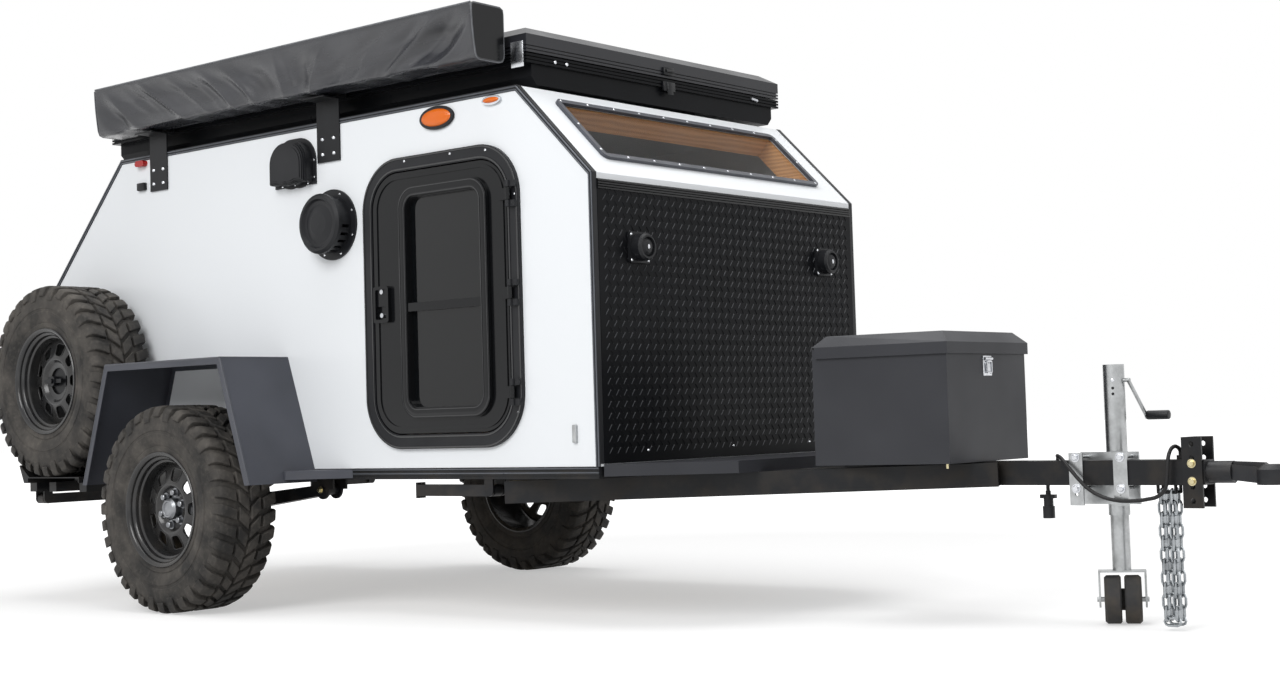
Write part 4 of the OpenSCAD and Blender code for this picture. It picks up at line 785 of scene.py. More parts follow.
def lugSection(reach):
    lug, top, half = tyre["lug"], tyre["radius"], tyre["width"] / 2
    base = top - tyre["tread"]
    points = [(base - tyre["foot"], lug["inner"][0]), (top, lug["inner"][1])]
    points += [(top - down, half - inset) for down, inset in lug["crest"]]
    points += [(base - lug["flank"][0], half - lug["flank"][1])]
    points += [(base - reach - down, half - inset) for down, inset in lug["tip"]]
    return points + [(base - down, half - inset) for down, inset in lug["under"]]


def tyreForm():
    base, half = tyre["radius"] - tyre["tread"], tyre["width"] / 2
    seat, inset = tyre["rimSeat"]
    side = [(base, tyre["crown"])] + [(base - down, half - into) for down, into in tyre["side"]]
    side.append((seat, half - inset))
    carcass = turned(side + [(radius, -z) for radius, z in reversed(side)], tyre["steps"])
    pitch, row, lug = pi / tyre["pitches"], tyre["block"], tyre["lug"]
    rows = []
    for k, reach in enumerate(lug["reach"]):  # every other lug runs further down the side
        for way in (-1, 1):
            shift = k * pitch + (0.5 * pitch if way > 0 else 0)
            for section, form, start in ((blockSection(), row, shift),
                                         (lugSection(reach), lug, shift + lug["shift"] * pitch)):
                section = [(radius, way * z) for radius, z in section]
                rows.append(tyreBlock(section, pitch * form["share"], start, way * form["lean"]))
    turns = [Matrix.Rotation(2 * pitch * k, 4, "Z") for k in range(tyre["pitches"])]
    blocks = rounded(copies(joined(*rows), turns), tyre["bevel"], 1, 40)
    return joined(carcass, blocks)


onWheels(tyreForm(), tyre["nodes"], "Tread", "tyre_rubber", 35)
print("tyres built")

# stone guard: raised tread bars, a row of each lean in turn, the bars of one lean in a lighter coat as a
# painted highlight
guardBars = {
    "length": 0.028,
    "width": 0.0046,
    "height": 0.0018,
    "sunk": 0.0005,
    "top": (0.6, 0.45),  # share of length and width that is left at the top
    "step": (0.040, 0.038),
    "border": 0.020,
    "lean": 54,
    # the first row's lighter coat paints the highlight that only bars of that lean catch
    "rows": (("StoneGuardBars", "tread_bar_painted_highlight", 0, 1), ("StoneGuardCrossBars", "diamond_plate", 0.5, -1)),
}


def repeat(obj, count, step):
    return modify(obj, "ARRAY", count=count, use_relative_offset=False, use_constant_offset=True,
                  constant_offset_displace=step)


def stoneGuardBars():
    low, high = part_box("stone_guard")
    bar, (across, up) = guardBars, guardBars["step"]
    columns = int((high.y - low.y - 2 * bar["border"]) / across)
    rows = int((high.z - low.z - 2 * bar["border"]) / up)
    first = Vector((high.x, (low.y + high.y - (columns - 0.5) * across) / 2,
                    (low.z + high.z - (rows - 0.5) * up) / 2))
    corner = Vector((bar["length"] / 2, bar["width"] / 2, 0))
    for name, coat, shift, way in bar["rows"]:
        obj = block(-corner - Vector((0, 0, bar["sunk"])), corner + Vector((0, 0, bar["height"])))
        for vertex in obj.data.vertices:  # ends and sides lean in towards the top
            if vertex.co.z > 0:
                vertex.co.x *= bar["top"][0]
                vertex.co.y *= bar["top"][1]
        place = first + Vector((0, shift * across, shift * up))
        settle(obj, facing((1, 0, 0), place, radians(way * bar["lean"])))
        repeat(repeat(obj, columns, (0, across, 0)), rows, (0, 0, up))
        fit(obj, name, "trailer", coat, 0)


stoneGuardBars()
print("stone guard studded")

# awning bag: a boxy cover, taut along its piped top edge and pulled into slanting folds below
bag = {
    "corners": ((0.002, 0.202, 0.010), (0.161, 0.201, 0.020), (0.161, 0.004, 0.030), (0.022, 0.004, 0.022),
                (0.007, 0.102, 0.060)),
    "alongSteps": 300,
    "roundSteps": 72,
    "fold": 0.040,
    "foldScale": (5.0, 2.0),
    "wrinkle": 0.011,
    "wrinkleScale": (12, 5),
    "seeds": (1.3, 7.1),
    "sharp": 1.9,
    "fan": (1.5, 1.9, 0.7),  # lean of the folds, and how it sways along the bag
    "taut": (0.012, 0.07),  # the folds set in this far below the top, over this height
    "ends": 0.16,  # they die out over this length at each end
    "hem": (0.25, 0.08),  # share of them at the bottom edge, and the height that brings them in full
    "back": (0.15, 0.3),  # behind this depth the cover lies flatter on the brackets
    "endRound": 0.012,
    "endTuck": 0.4,
    "panel": 0.93,  # darker end panels, painted shade on the cover's ends, as a share of the cover's outline
    "panelThick": 0.004,
    "panelSunk": 0.0005,
    "piping": 0.0035,
    "pipingIn": 0.003,
    "pipingEnd": 0.006,
    "hemThick": 0.003,
    "hemAt": (0.001, 0.004),
}


def foldDepth(x, z):
    # 0 on a ridge and 1 in a valley, for the folds and the wrinkles; they fan out along the bag
    lean, pace, start = bag["fan"]
    across = x + lean * sin(pace * x + start) * z
    (foldAcross, foldUp), (wrinkleAcross, wrinkleUp) = bag["foldScale"], bag["wrinkleScale"]
    foldSeed, wrinkleSeed = bag["seeds"]
    fold = noise.noise(Vector((across * foldAcross, z * foldUp, foldSeed)))
    wrinkle = noise.noise(Vector((across * wrinkleAcross, z * wrinkleUp + x, wrinkleSeed)))
    return min(1, bag["sharp"] * abs(fold)), min(1, bag["sharp"] * abs(wrinkle))


def bagSlack(point, endGap, tall):
    # the share of the folds' depth at a place on the cover
    (start, over), (least, height), (back, share) = bag["taut"], bag["hem"], bag["back"]
    slack = min(1, max(0, (tall - point.y - start) / over))
    slack *= min(1, endGap / bag["ends"]) * min(1, least + point.y / height)
    return slack * share if point.x > back else slack


def bagCover(low, length, tall, loop, heart):
    around = bag["roundSteps"]
    deselect()
    bpy.ops.mesh.primitive_grid_add(x_subdivisions=bag["alongSteps"], y_subdivisions=around, size=1)
    obj = bpy.context.object
    for vertex in obj.data.vertices:
        k = round((vertex.co.y + 0.5) * around)
        point = loop[k % around]
        along = loop[(k + 1) % around] - loop[k % around - 1]
        out = Vector((along.y, -along.x)).normalized()
        if out.dot(point - heart) < 0:
            out = -out
        x = (vertex.co.x + 0.5) * length
        endGap = min(x, length - x)
        fold, wrinkle = foldDepth(x, point.y)
        depth = bagSlack(point, endGap, tall) * (bag["fold"] * fold + bag["wrinkle"] * wrinkle)
        tuck = bag["endRound"] * max(0, 1 - endGap / bag["endRound"]) ** 2 * bag["endTuck"]
        point = point - out * (depth + tuck)
        vertex.co = low + Vector((x, point.x, point.y))
    return closeUp(obj)


def acrossBag(obj, low, x):
    # stands a piece made from the bag's outline upright, at x along the bag
    upright = Matrix(((0, 0, 1, 0), (1, 0, 0, 0), (0, 1, 0, 0), (0, 0, 0, 1)))
    return settle(obj, Matrix.Translation(low + Vector((x, 0, 0))) @ upright)


def awningBag():
    low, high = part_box("awning_bag")
    length, tall = high.x - low.x, high.z - low.z
    loop = [Vector(point) for point in evenSteps(softCorners(bag["corners"]), bag["roundSteps"])]
    heart = sum(loop, Vector((0, 0))) / bag["roundSteps"]
    obj = bagCover(low, length, tall, loop, heart)
    fit(obj, "AwningBagCover", "trailer", "awning_cover", 50)
    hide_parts("awning_bag")
    panel = [heart + (point - heart) * bag["panel"] for point in loop]
    thick, sunk = bag["panelThick"], bag["panelSunk"]
    panels = [acrossBag(prism(panel, thick), low, x) for x in (-sunk, length - thick + sunk)]
    # dark panels over the cover's ends: painted shade
    fit(joined(*panels), "BagEndShadePanels", "trailer", "door_black", 40)
    inset, end = bag["pipingIn"], bag["pipingEnd"]
    edge = low + Vector((0, bag["corners"][0][0] + inset, bag["corners"][0][1] - inset))
    pipes = [rod(edge + Vector((end, 0, 0)), edge + Vector((length - end, 0, 0)), bag["piping"], 10)]
    pipes += [acrossBag(ring(loop[::2], 2 * bag["piping"], bag["hemThick"]), low, x)
              for x in (bag["hemAt"][0], length - bag["hemAt"][1])]
    # the piping's light coat is a painted highlight along the top edge and round the ends
    fit(joined(*pipes), "BagPiping", "trailer", "bag_piping_painted_highlight", 60)


awningBag()
print("awning bag filled")

# cabin sizes that the trim follows, measured from the axle
cabin = {
    "front": 1.936,
    "back": -1.250,
    "roof": 1.827,
    "roofFront": 1.604,
    "roofBack": -0.700,
    "break": 1.495,
    "rearCorner": 1.277,
    "half": 0.762,
    "low": 0.530,
    "slope": (1.770, 0, 1.661),
}
slopePlane = Matrix.Translation(spot(*cabin["slope"])) @ Matrix.Rotation(pi / 4, 4, "Y")

# window in the front slope: plywood lining of the opening, and its frame's screws
slopeWindow = {"length": 0.296, "width": 1.240, "up": -0.011, "corner": 0.014, "gap": 0.002, "lining": 0.007,
               "depth": 0.080, "sunk": 0.006, "screws": 22, "screwOut": 0.004, "frame": 0.012}


def windowLining():
    pane = slopeWindow
    outline = roundedOutline(pane["length"] - pane["gap"], pane["width"] - pane["gap"], pane["corner"])
    obj = ring(outline, pane["lining"], -pane["depth"])
    settle(obj, slopePlane @ Matrix.Translation((pane["up"], 0, -pane["sunk"])))
    fit(obj, "WindowLining", "trailer", "plywood")


windowLining()

# screws: heads on the door frames, window frame, vents, stone guard and awning brackets
screws = {
    "radius": 0.0050,
    "bolt": 0.0085,
    "boltDome": 0.7,
    "door": (1.215, 1.1205),
    "doorAt": ((-0.164, 0.507), (0.070, 0.507), (0.245, 0.500), (0.378, 0.335), (0.372, -0.405)),
    "flange": 0.776,
    "hood": ((0.545, 1.625), (0.545, 1.690), (0.326, 1.625), (0.326, 1.690), (0.36, 1.606), (0.435, 1.606),
             (0.51, 1.606)),
    "hoodOut": 0.006,
    "vent": dict(middle=(0.645, 1.435), circle=0.119, count=8, out=0.008),
    "guard": dict(sides=(-0.52, -0.05, 0.42), height=0.575, out=0.003),
    "brackets": dict(along=(-0.4315, 0.6305), half=0.032, heights=(1.703, 1.760), out=0.007),
}


def silverScrews():
    pane, vent, guard, bracket = slopeWindow, screws["vent"], screws["guard"], screws["brackets"]
    doorX, doorZ = screws["door"]
    places = [onSide(side, doorX + x, screws["flange"], doorZ + z)
              for side in bothSides for x, z in screws["doorAt"]]
    out = pane["screwOut"]
    for x, y in evenOutline(pane["length"] + out, pane["width"] + out, pane["corner"], pane["screws"]):
        places.append(slopePlane @ Matrix.Translation((pane["up"] + x, y, pane["frame"])))
    places += [onSide(-1, x, cabin["half"] + screws["hoodOut"], z) for x, z in screws["hood"]]
    ventX, ventZ = vent["middle"]
    for k in range(vent["count"]):
        turn = 2 * pi / vent["count"] * (k + 0.5)
        x, z = ventX + vent["circle"] * cos(turn), ventZ + vent["circle"] * sin(turn)
        places.append(onSide(-1, x, cabin["half"] + vent["out"], z))
    places += [onFront(cabin["front"] + guard["out"], y, guard["height"]) for y in guard["sides"]]
    small = copies(screwHead(screws["radius"]), places)
    places = [onSide(-1, x + dx, cabin["half"] + bracket["out"], z)
              for x in bracket["along"] for dx in (-bracket["half"], bracket["half"])
              for z in bracket["heights"]]
    large = copies(screwHead(screws["bolt"], screws["boltDome"]), places)
    fit(joined(small, large), "SilverScrews", "trailer", "bright_zinc")


silverScrews()
print("window lined and screws set")

# edge mouldings: two grey metal beads along the cabin's outline on each side, their light tone partly a painted
# highlight on the dark mouldings
moulding = {"beads": (0.004, 0.014), "radius": 0.0032, "face": 0.764}


def outlineAt(inset):
    mitre = inset * tan(pi / 8)
    front, back, roof = cabin["front"] - inset, cabin["back"] + inset, cabin["roof"] - inset
    return [(front, cabin["low"]), (front, cabin["break"] - mitre), (cabin["roofFront"] - mitre, roof),
            (cabin["roofBack"] + mitre, roof), (back, cabin["rearCorner"] - mitre), (back, cabin["low"])]


def mouldingBeads():
    bars = []
    for side in bothSides:
        for inset in moulding["beads"]:
            line = [spot(x, side * moulding["face"], z) for x, z in outlineAt(inset)]
            bars += rail(line, moulding["radius"], 8)
    # the beads' light grey also paints the highlight lines of the dark mouldings
    fit(joined(*bars), "MouldingBeads", "trailer", "grey_moulding", 60)


mouldingBeads()

# ribbed strip over the stone guard's top edge
guardStrip = {"ribs": 4, "step": 0.0085, "radius": 0.0042, "low": 1.4445, "half": 0.742, "out": 0.003}


def stoneGuardStrip():
    x, half, bars = cabin["front"] + guardStrip["out"], guardStrip["half"], []
    for k in range(guardStrip["ribs"]):
        z = guardStrip["low"] + k * guardStrip["step"]
        bars.append(rod(spot(x, -half, z), spot(x, half, z), guardStrip["radius"]))
    fit(joined(*bars), "StoneGuardStrip", "trailer", "door_black", 60)


stoneGuardStrip()

# bottom trim: two bright ribs along each wall
trimRibs = {"ends": (0.545, 1.930), "down": (0.006, 0.020), "radius": 0.0026}


def bottomTrimRibs():
    low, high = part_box("bottom_trim")
    first, last = trimRibs["ends"]
    bars = [rod(spot(first, y, high.z - down), spot(last, y, high.z - down), trimRibs["radius"], 8)
            for y in (low.y, high.y) for down in trimRibs["down"]]
    fit(joined(*bars), "BottomTrimRibs", "trailer", "grey_moulding", 60)


bottomTrimRibs()
print("mouldings, strip and trim ribbed")

# amber lamps on both walls: a domed oval lens in a black bezel and a small marker on a bright base,
# [x, z, length, height, bezel], and a connector's black cap
amber = {
    "places": ((1.216, 1.764, 0.172, 0.084, 0.011), (1.489, 1.790, 0.090, 0.034, 0.007)),
    "out": 0.021,
    "bezelOut": 0.011,
    "bevel": 0.003,
    "sunk": 0.001,
    "connector": dict(place=(-0.548, 1.700), half=(0.026, 0.016), out=0.016, bevel=0.004),
}


def oval(length, height, steps=48):
    turns = [2 * pi * k / steps for k in range(steps)]
    return [(length / 2 * cos(turn), height / 2 * sin(turn)) for turn in turns]


def ovalLens(length, height, out):
    # a shallow dome over an oval
    deselect()
    bpy.ops.mesh.primitive_uv_sphere_add(segments=32, ring_count=12, radius=1)
    obj = bpy.context.object
    edit(obj)
    bpy.ops.mesh.bisect(plane_co=(0, 0, 0), plane_no=(0, 0, 1), clear_inner=True, use_fill=True)
    bpy.ops.object.mode_set(mode="OBJECT")
    obj.scale = (length / 2, height / 2, out)
    return settle(obj)


def amberLamps():
    glass, rims, bases = [], [], []
    wall, sunk, bezelOut, cap = cabin["half"], amber["sunk"], amber["bezelOut"], amber["connector"]
    for side in bothSides:
        for (x, z, length, height, bezel), group in zip(amber["places"], (rims, bases)):
            place = onSide(side, x, wall, z)
            base = rounded(prism(oval(length, height), bezelOut), amber["bevel"])
            group.append(settle(base, place))
            lens = ovalLens(length - 2 * bezel, height - 2 * bezel, amber["out"] - bezelOut + sunk)
            glass.append(settle(lens, place @ Matrix.Translation((0, 0, bezelOut - sunk))))
        (x, z), (dx, dz) = cap["place"], cap["half"]
        inner, outer = sorted((side * (wall - sunk), side * (wall + cap["out"])))
        rims.append(block(spot(x - dx, inner, z - dz), spot(x + dx, outer, z + dz), cap["bevel"]))
    lens = fit(joined(*glass), "AmberLenses", "trailer", "amber_lens", 50)
    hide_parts("amber_lamps")
    fit(joined(*rims), "LampBezels", "trailer", "black_plastic", 40)
    fit(joined(*bases), "MarkerBases", "trailer", "bright_zinc", 40)


amberLamps()

# front lamp pods: screws in the plates' corners and a bright reflector in each bowl
lampPod = {"side": 0.545, "height": 1.255, "face": 1.949, "screw": 0.043, "bowl": 1.9865,
           "reflector": (0.013, 0.019, 0.005)}


def lampPods():
    z, corner, heads, bowls = lampPod["height"], lampPod["screw"], [], []
    for y in (-lampPod["side"], lampPod["side"]):
        heads += [onFront(lampPod["face"], y + dy, z + dz)
                  for dy in (-corner, corner) for dz in (-corner, corner)]
        bowls.append(onFront(lampPod["bowl"], y, z))
    made = joined(copies(screwHead(screws["radius"]), heads), copies(ovalLens(*lampPod["reflector"]), bowls))
    fit(made, "LampPodFittings", "trailer", "bright_zinc")


lampPods()

# doors: lock barrels in the paddle handles, and the hold-open clips on the walls
latch = {"x": 0.925, "heights": (1.080, 1.165), "face": 0.774, "radius": 0.0085, "out": 0.012}
doorClip = {"place": (1.832, 0.638), "half": (0.009, 0.03), "reach": (0.761, 0.772), "bevel": 0.003}


def doorLocks():
    x, face = latch["x"], latch["face"]
    for side, body in doors.items():
        bars = [rod(spot(x, side * face, z), spot(x, side * (face + latch["out"]), z), latch["radius"], 20)
                for z in latch["heights"]]
        fit(joined(*bars), "Locks" + capitals(body), body, "bright_zinc")


def doorClips():
    (x, z), (dx, dz), clips = doorClip["place"], doorClip["half"], []
    for side in bothSides:
        low, high = sorted(side * y for y in doorClip["reach"])
        clips.append(block(spot(x - dx, low, z - dz), spot(x + dx, high, z + dz), doorClip["bevel"]))
    fit(joined(*clips), "DoorClips", "trailer", "zinc_steel")


doorLocks()
doorClips()

# door surrounds: raised lips on the flanges, and rounded window trims with beads, [middle, size, corner]
surround = {
    "flange": ((1.215, 1.1205), (0.782, 1.041), 0.183),
    "seal": ((1.215, 1.1205), (0.706, 0.965), 0.145),
    "lip": 0.0065,
    "lipOut": 0.0030,
    "face": 0.7755,
    "trim": ((1.246, 1.119), (0.444, 0.826), 0.079),
    "trimWide": 0.036,
    "trimOut": 0.006,
    "trimFace": 0.7835,
    "beads": (0.004, 0.029),
    "bead": 0.0035,
    "beadOut": 0.0025,
    "beadSunk": 0.001,
    "roundShare": 0.48,
}


def flatRing(shape, wide, out, side, face):
    (x, z), size, corner = shape
    obj = ring(roundedOutline(*size, corner, 10), wide, out)
    return settle(rounded(obj, min(wide, out) * surround["roundShare"]), onSide(side, x, face, z))


def doorSurrounds():
    lips = []
    middle, (wide, high), corner = surround["trim"]
    beadFace = surround["trimFace"] + surround["trimOut"] - surround["beadSunk"]
    for side, body in doors.items():
        for shape in (surround["flange"], surround["seal"]):
            lips.append(flatRing(shape, surround["lip"], surround["lipOut"], side, surround["face"]))
        trim = flatRing(surround["trim"], surround["trimWide"], surround["trimOut"], side,
                        surround["trimFace"])
        fit(trim, "WindowTrim" + capitals(body), body, "door_black", 40)
        beads = []
        for inset in surround["beads"]:
            shape = (middle, (wide - 2 * inset, high - 2 * inset), corner - inset)
            beads.append(flatRing(shape, surround["bead"], surround["beadOut"], side, beadFace))
        fit(joined(*beads), "WindowBeads" + capitals(body), body, "glossy_trim", 40)
    fit(joined(*lips), "DoorFrameLips", "trailer", "glossy_trim", 40)


doorSurrounds()
print("lamps, locks and door surrounds set")

# wheels: lug nuts round the hub cap
wheelNut = {"count": 6, "start": 0.3, "circle": 0.0625, "radius": 0.0125, "high": 0.022, "face": 0.0555,
            "wheels": {"tyre_right": "wheel_right", "tyre_left": "wheel_left"}}


def lugNuts():
    for node, body in wheelNut["wheels"].items():
        middle = nodeMiddle(node)
        out = outward(middle.y)
        face = middle + Vector((0, out * wheelNut["face"], 0))
        places = []
        for k in range(wheelNut["count"]):
            turn = 2 * pi * k / wheelNut["count"] + wheelNut["start"]
            place = face + Vector((cos(turn), 0, sin(turn))) * wheelNut["circle"]
            places.append(facing((0, out, 0), place, turn))
        nuts = copies(hexHead(wheelNut["radius"], wheelNut["high"]), places)
        fit(nuts, "LugNuts" + capitals(body), body, "hub_grey", 30)


lugNuts()

# rims: stepped barrel, and a dished disc with flared windows; (radius, reach out from the wheel's middle)
rim = {
    "barrel": ((0.218, 0.122), (0.216, 0.124), (0.211, 0.124), (0.2025, 0.119), (0.1995, 0.114),
               (0.1985, 0.106), (0.1895, 0.102), (0.1875, 0.098), (0.1865, 0.086), (0.1785, 0.082),
               (0.1765, 0.076), (0.1765, 0.010), (0.1995, -0.020), (0.1995, -0.117), (0.212, -0.124),
               (0.218, -0.122), (0.218, -0.1185), (0.2055, -0.117), (0.2055, 0.117), (0.218, 0.1185)),
    "disc": ((0.178, 0.047), (0.168, 0.050), (0.160, 0.054), (0.100, 0.071), (0.092, 0.0735), (0.086, 0.071),
             (0.079, 0.059), (0.075, 0.0565), (0.0548, 0.056), (0.0548, 0.048), (0.075, 0.0485),
             (0.085, 0.058), (0.092, 0.065), (0.100, 0.063), (0.160, 0.046), (0.178, 0.039)),
    "barrelSteps": 96,
    "discSteps": 90,
    "windows": 9,
    "window": ((-0.026, -0.021, 0.015), (0.027, -0.032, 0.018), (0.027, 0.032, 0.018),
               (-0.026, 0.021, 0.015)),
    "windowAt": (0.127, 0.0628),
    "cut": 0.06,
    "slope": 0.276,
    "lip": (0.0045, 0.0055),
    "lipScale": 1.1,
    "lipBevel": 0.0018,
    "lipSunk": 0.0035,
    "wheels": {"rim_right": "wheel_right", "rim_left": "wheel_left", "spare_rim": "trailer"},
}


def rimForm():
    barrel, disc = turned(rim["barrel"], rim["barrelSteps"]), turned(rim["disc"], rim["discSteps"])
    (radius, face), scale = rim["windowAt"], rim["lipScale"]
    turns = [Matrix.Rotation(2 * pi * k / rim["windows"], 4, "Z") for k in range(rim["windows"])]
    cutter = prism(softCorners(rim["window"]), rim["cut"])
    cutters = copies(settle(cutter, Matrix.Translation((radius, 0, face - rim["cut"] / 2))), turns)
    modify(disc, "BOOLEAN", operation="DIFFERENCE", object=cutters, solver="EXACT")
    bpy.data.objects.remove(cutters)
    outline = softCorners([[scale * size for size in corner] for corner in rim["window"]])
    lip = rounded(ring(outline, *rim["lip"]), rim["lipBevel"])
    place = Matrix.Translation((radius, 0, face - rim["lipSunk"]))
    settle(lip, place @ Matrix.Rotation(rim["slope"], 4, "Y"))
    return joined(barrel, disc, copies(lip, turns))


onWheels(rimForm(), rim["wheels"], "Form", "rim_black", 40)

# bolts: gold-passivated ones on the hitch channel and suspension pivots, zinc nuts on the jack straps
bolts = {"hitch": ((3.639, -0.047, 0.500), (3.639, -0.047, 0.447)), "pivot": (0.550, 0.770, 0.452),
         "gold": (0.0095, 0.011), "nut": (0.0105, 0.010), "straps": (3.261, 3.409),
         "strapHeights": (0.4249, 0.5209), "strapFace": -0.044}


def boltHeads():
    places = [facing((0, -1, 0), spot(*place)) for place in bolts["hitch"]]
    places += [onSide(side, *bolts["pivot"]) for side in bothSides]
    fit(copies(hexHead(*bolts["gold"]), places), "GoldBolts", "trailer", "gold_zinc", 30)
    places = [facing((0, -1, 0), spot(x, bolts["strapFace"], z))
              for x in bolts["straps"] for z in bolts["strapHeights"]]
    fit(copies(hexHead(*bolts["nut"]), places), "StrapNuts", "trailer", "bright_zinc", 30)


boltHeads()

# jack: black discs as painted shade in the pin holes, a bolt near the tube's top, and the drain cock under the
# toolbox
jackTube = {"place": (3.335, 0.093), "radius": 0.033, "out": (0.31, -0.95, 0), "holes": (0.714, 0.732),
            "hole": 0.0046, "holeSunk": 0.003, "holeOut": 0.0005, "bolt": 0.757, "boltRadius": 0.007}
drainCock = {"place": (2.918, -0.232), "long": 0.016, "radius": 0.005, "sunk": 0.001}


def jackFittings():
    out = Vector(jackTube["out"]).normalized()
    face = spot(*jackTube["place"], 0) + out * jackTube["radius"]
    dots = []
    # each pin hole is a black disc on the tube: painted shade where the hole is
    for height in jackTube["holes"]:
        place = face + Vector((0, 0, height))
        ends = place - out * jackTube["holeSunk"], place + out * jackTube["holeOut"]
        dots.append(rod(*ends, jackTube["hole"], 16))
    fit(joined(*dots), "JackPinHoleShade", "trailer", "black_steel")
    place = face + Vector((0, 0, jackTube["bolt"]))
    head = settle(screwHead(jackTube["boltRadius"]), facing(out, place))
    fit(head, "JackTubeBolt", "trailer", "bright_zinc")
    top = spot(*drainCock["place"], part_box("toolbox")[0].z + drainCock["sunk"])
    cock = rod(top, top - Vector((0, 0, drainCock["long"])), drainCock["radius"])
    fit(cock, "DrainCock", "trailer", "gold_zinc")


jackFittings()

# crank: black sleeve on the grip
crankGrip = {"ends": ((3.386, 0.213, 0.644), (3.460, 0.213, 0.644)), "radius": 0.0145, "bevel": 0.003}


def crankSleeve():
    sleeve = rod(*(spot(*end) for end in crankGrip["ends"]), crankGrip["radius"], 24)
    fit(rounded(sleeve, crankGrip["bevel"]), "CrankSleeve", "trailer", "black_plastic")


crankSleeve()

# fenders: rolled edges along the outer rim and the two folds, in a grey a little lighter than the fender as a
# painted highlight
fenderEdge = {"path": ((-0.525, 0.483), (-0.365, 0.953), (0.365, 0.953), (0.525, 0.483)), "middle": (0, 0.7),
              "inner": 0.764, "outer": 1.080, "inset": 0.003, "radius": 0.0046}


def fenderEdges():
    edge, bars = fenderEdge, []
    middle = Vector(edge["middle"])
    line = [Vector(point) + (middle - Vector(point)).normalized() * edge["inset"] for point in edge["path"]]
    for side in bothSides:
        outer = side * (edge["outer"] - edge["inset"])
        bars += rail([spot(x, outer, z) for x, z in line], edge["radius"], 10)
        bars += [rod(spot(x, side * edge["inner"], z), spot(x, outer, z), edge["radius"], 10)
                 for x, z in line[1:3]]
    # the edges' lighter grey paints a highlight along the rolled lips
    fit(joined(*bars), "FenderEdges", "trailer", "frame_grey_and_edge_highlight", 60)


fenderEdges()

# hatch: a grip bar between the posts of each of its two handles
hatchGrip = {"sides": 0.4314, "out": -1.280, "half": 0.055, "middle": 0.775, "radius": 0.0075}


def hatchHandles():
    grip, bars = hatchGrip, []
    x, z = grip["out"] + grip["radius"], grip["middle"]
    for y in (-grip["sides"], grip["sides"]):
        bars.append(rod(spot(x, y - grip["half"], z), spot(x, y + grip["half"], z), grip["radius"], 16))
    fit(joined(*bars), "HatchGrips", "hatch", "black_plastic", 40)


hatchHandles()
print("nuts, bolts, crank sleeve and hatch handles set")

# toolbox: drawn steel latch on the front face; plate and paddle are [out, half width, up, bevel]
boxLatch = {
    "place": (2.940, 0, 0.786),
    "plate": ((-0.001, 0.003), 0.027, (0, 0.065), 0.0014),
    "paddle": ((0.002, 0.009), 0.012, (0.014, 0.040), 0.002),
    "loop": dict(size=(0.034, 0.040, 0.006), wide=0.0045, thick=0.005, out=0.006, up=0.028),
    "barrel": dict(out=0.006, half=0.024, up=0.055, radius=0.005),
    "screws": dict(out=0.003, sides=(-0.021, 0.021), up=(0.008, 0.043), radius=0.004),
}


def toolboxLatch():
    place, loop, barrel, heads = (boxLatch[key] for key in ("place", "loop", "barrel", "screws"))
    x, y, z = place
    pieces = [frontBlock(place, *boxLatch["plate"])]
    bail = ring(roundedOutline(*loop["size"]), loop["wide"], loop["thick"])
    pieces.append(settle(bail, onFront(x + loop["out"], y, z + loop["up"])))
    pieces.append(frontBlock(place, *boxLatch["paddle"]))
    ends = [spot(x + barrel["out"], y + half, z + barrel["up"]) for half in (-barrel["half"], barrel["half"])]
    pieces.append(rod(*ends, barrel["radius"]))
    spots = [onFront(x + heads["out"], side, z + up) for side in heads["sides"] for up in heads["up"]]
    pieces.append(copies(screwHead(heads["radius"]), spots))
    fit(joined(*pieces), "ToolboxLatch", "trailer", "bright_zinc")


toolboxLatch()

# tent hardware: front latch, flange screws, bar and corner plate; blocks are [out, half width, up, bevel]
tentParts = {
    "place": (1.600, 0.060, 1.948),  # front face, latch and split between base and lid
    "keeper": ((-0.002, 0.010), 0.030, (0.014, 0.044), 0.003),
    "hook": dict(out=0.010, half=0.022, up=0.029, radius=0.006),
    "latch": ((-0.002, 0.009), 0.034, (-0.046, -0.010), 0.003),
    "lever": ((0.008, 0.014), 0.016, (-0.060, -0.012), 0.003),
    "screws": dict(sides=(-0.56, -0.50, 0.62), up=-0.016, radius=0.0065),
    "corner": dict(x=(1.528, 1.586), y=(-0.708, -0.704), up=(-0.046, 0.044), bevel=0.0012),
    "bar": dict(out=0.005, sides=(0.575, 0.615), up=(-0.013, -0.017), radius=0.005),
}


def tentHardware():
    place, hook, heads, corner, bar = (tentParts[key] for key in ("place", "hook", "screws", "corner", "bar"))
    x, y, z = place
    ends = [spot(x + hook["out"], y + half, z + hook["up"]) for half in (-hook["half"], hook["half"])]
    keeper = joined(frontBlock(place, *tentParts["keeper"]), rod(*ends, hook["radius"]))
    fit(keeper, "TentLatchKeeper", "tent_lid", "black_steel")
    tentLatch = joined(frontBlock(place, *tentParts["latch"]), frontBlock(place, *tentParts["lever"]))
    fit(tentLatch, "TentLatch", "trailer", "black_steel")
    spots = [onFront(x, side, z + heads["up"]) for side in heads["sides"]]
    low, high = (spot(*point) for point in zip(corner["x"], corner["y"], (z + up for up in corner["up"])))
    ends = [spot(x + bar["out"], side, z + up) for side, up in zip(bar["sides"], bar["up"])]
    fittings = joined(copies(screwHead(heads["radius"]), spots), block(low, high, corner["bevel"]),
                      rod(*ends, bar["radius"]))
    fit(fittings, "TentFittings", "trailer", "bright_zinc")


tentHardware()
print("latches fitted")

# tent mattress: a crowned, quilted pad on the tray
mattress = {"cells": (48, 28), "quilts": (12, 7), "crown": 0.012, "tuft": 0.010, "edge": 0.012, "droop": 0.6,
            "square": 8, "foot": (1.004, 1.006)}


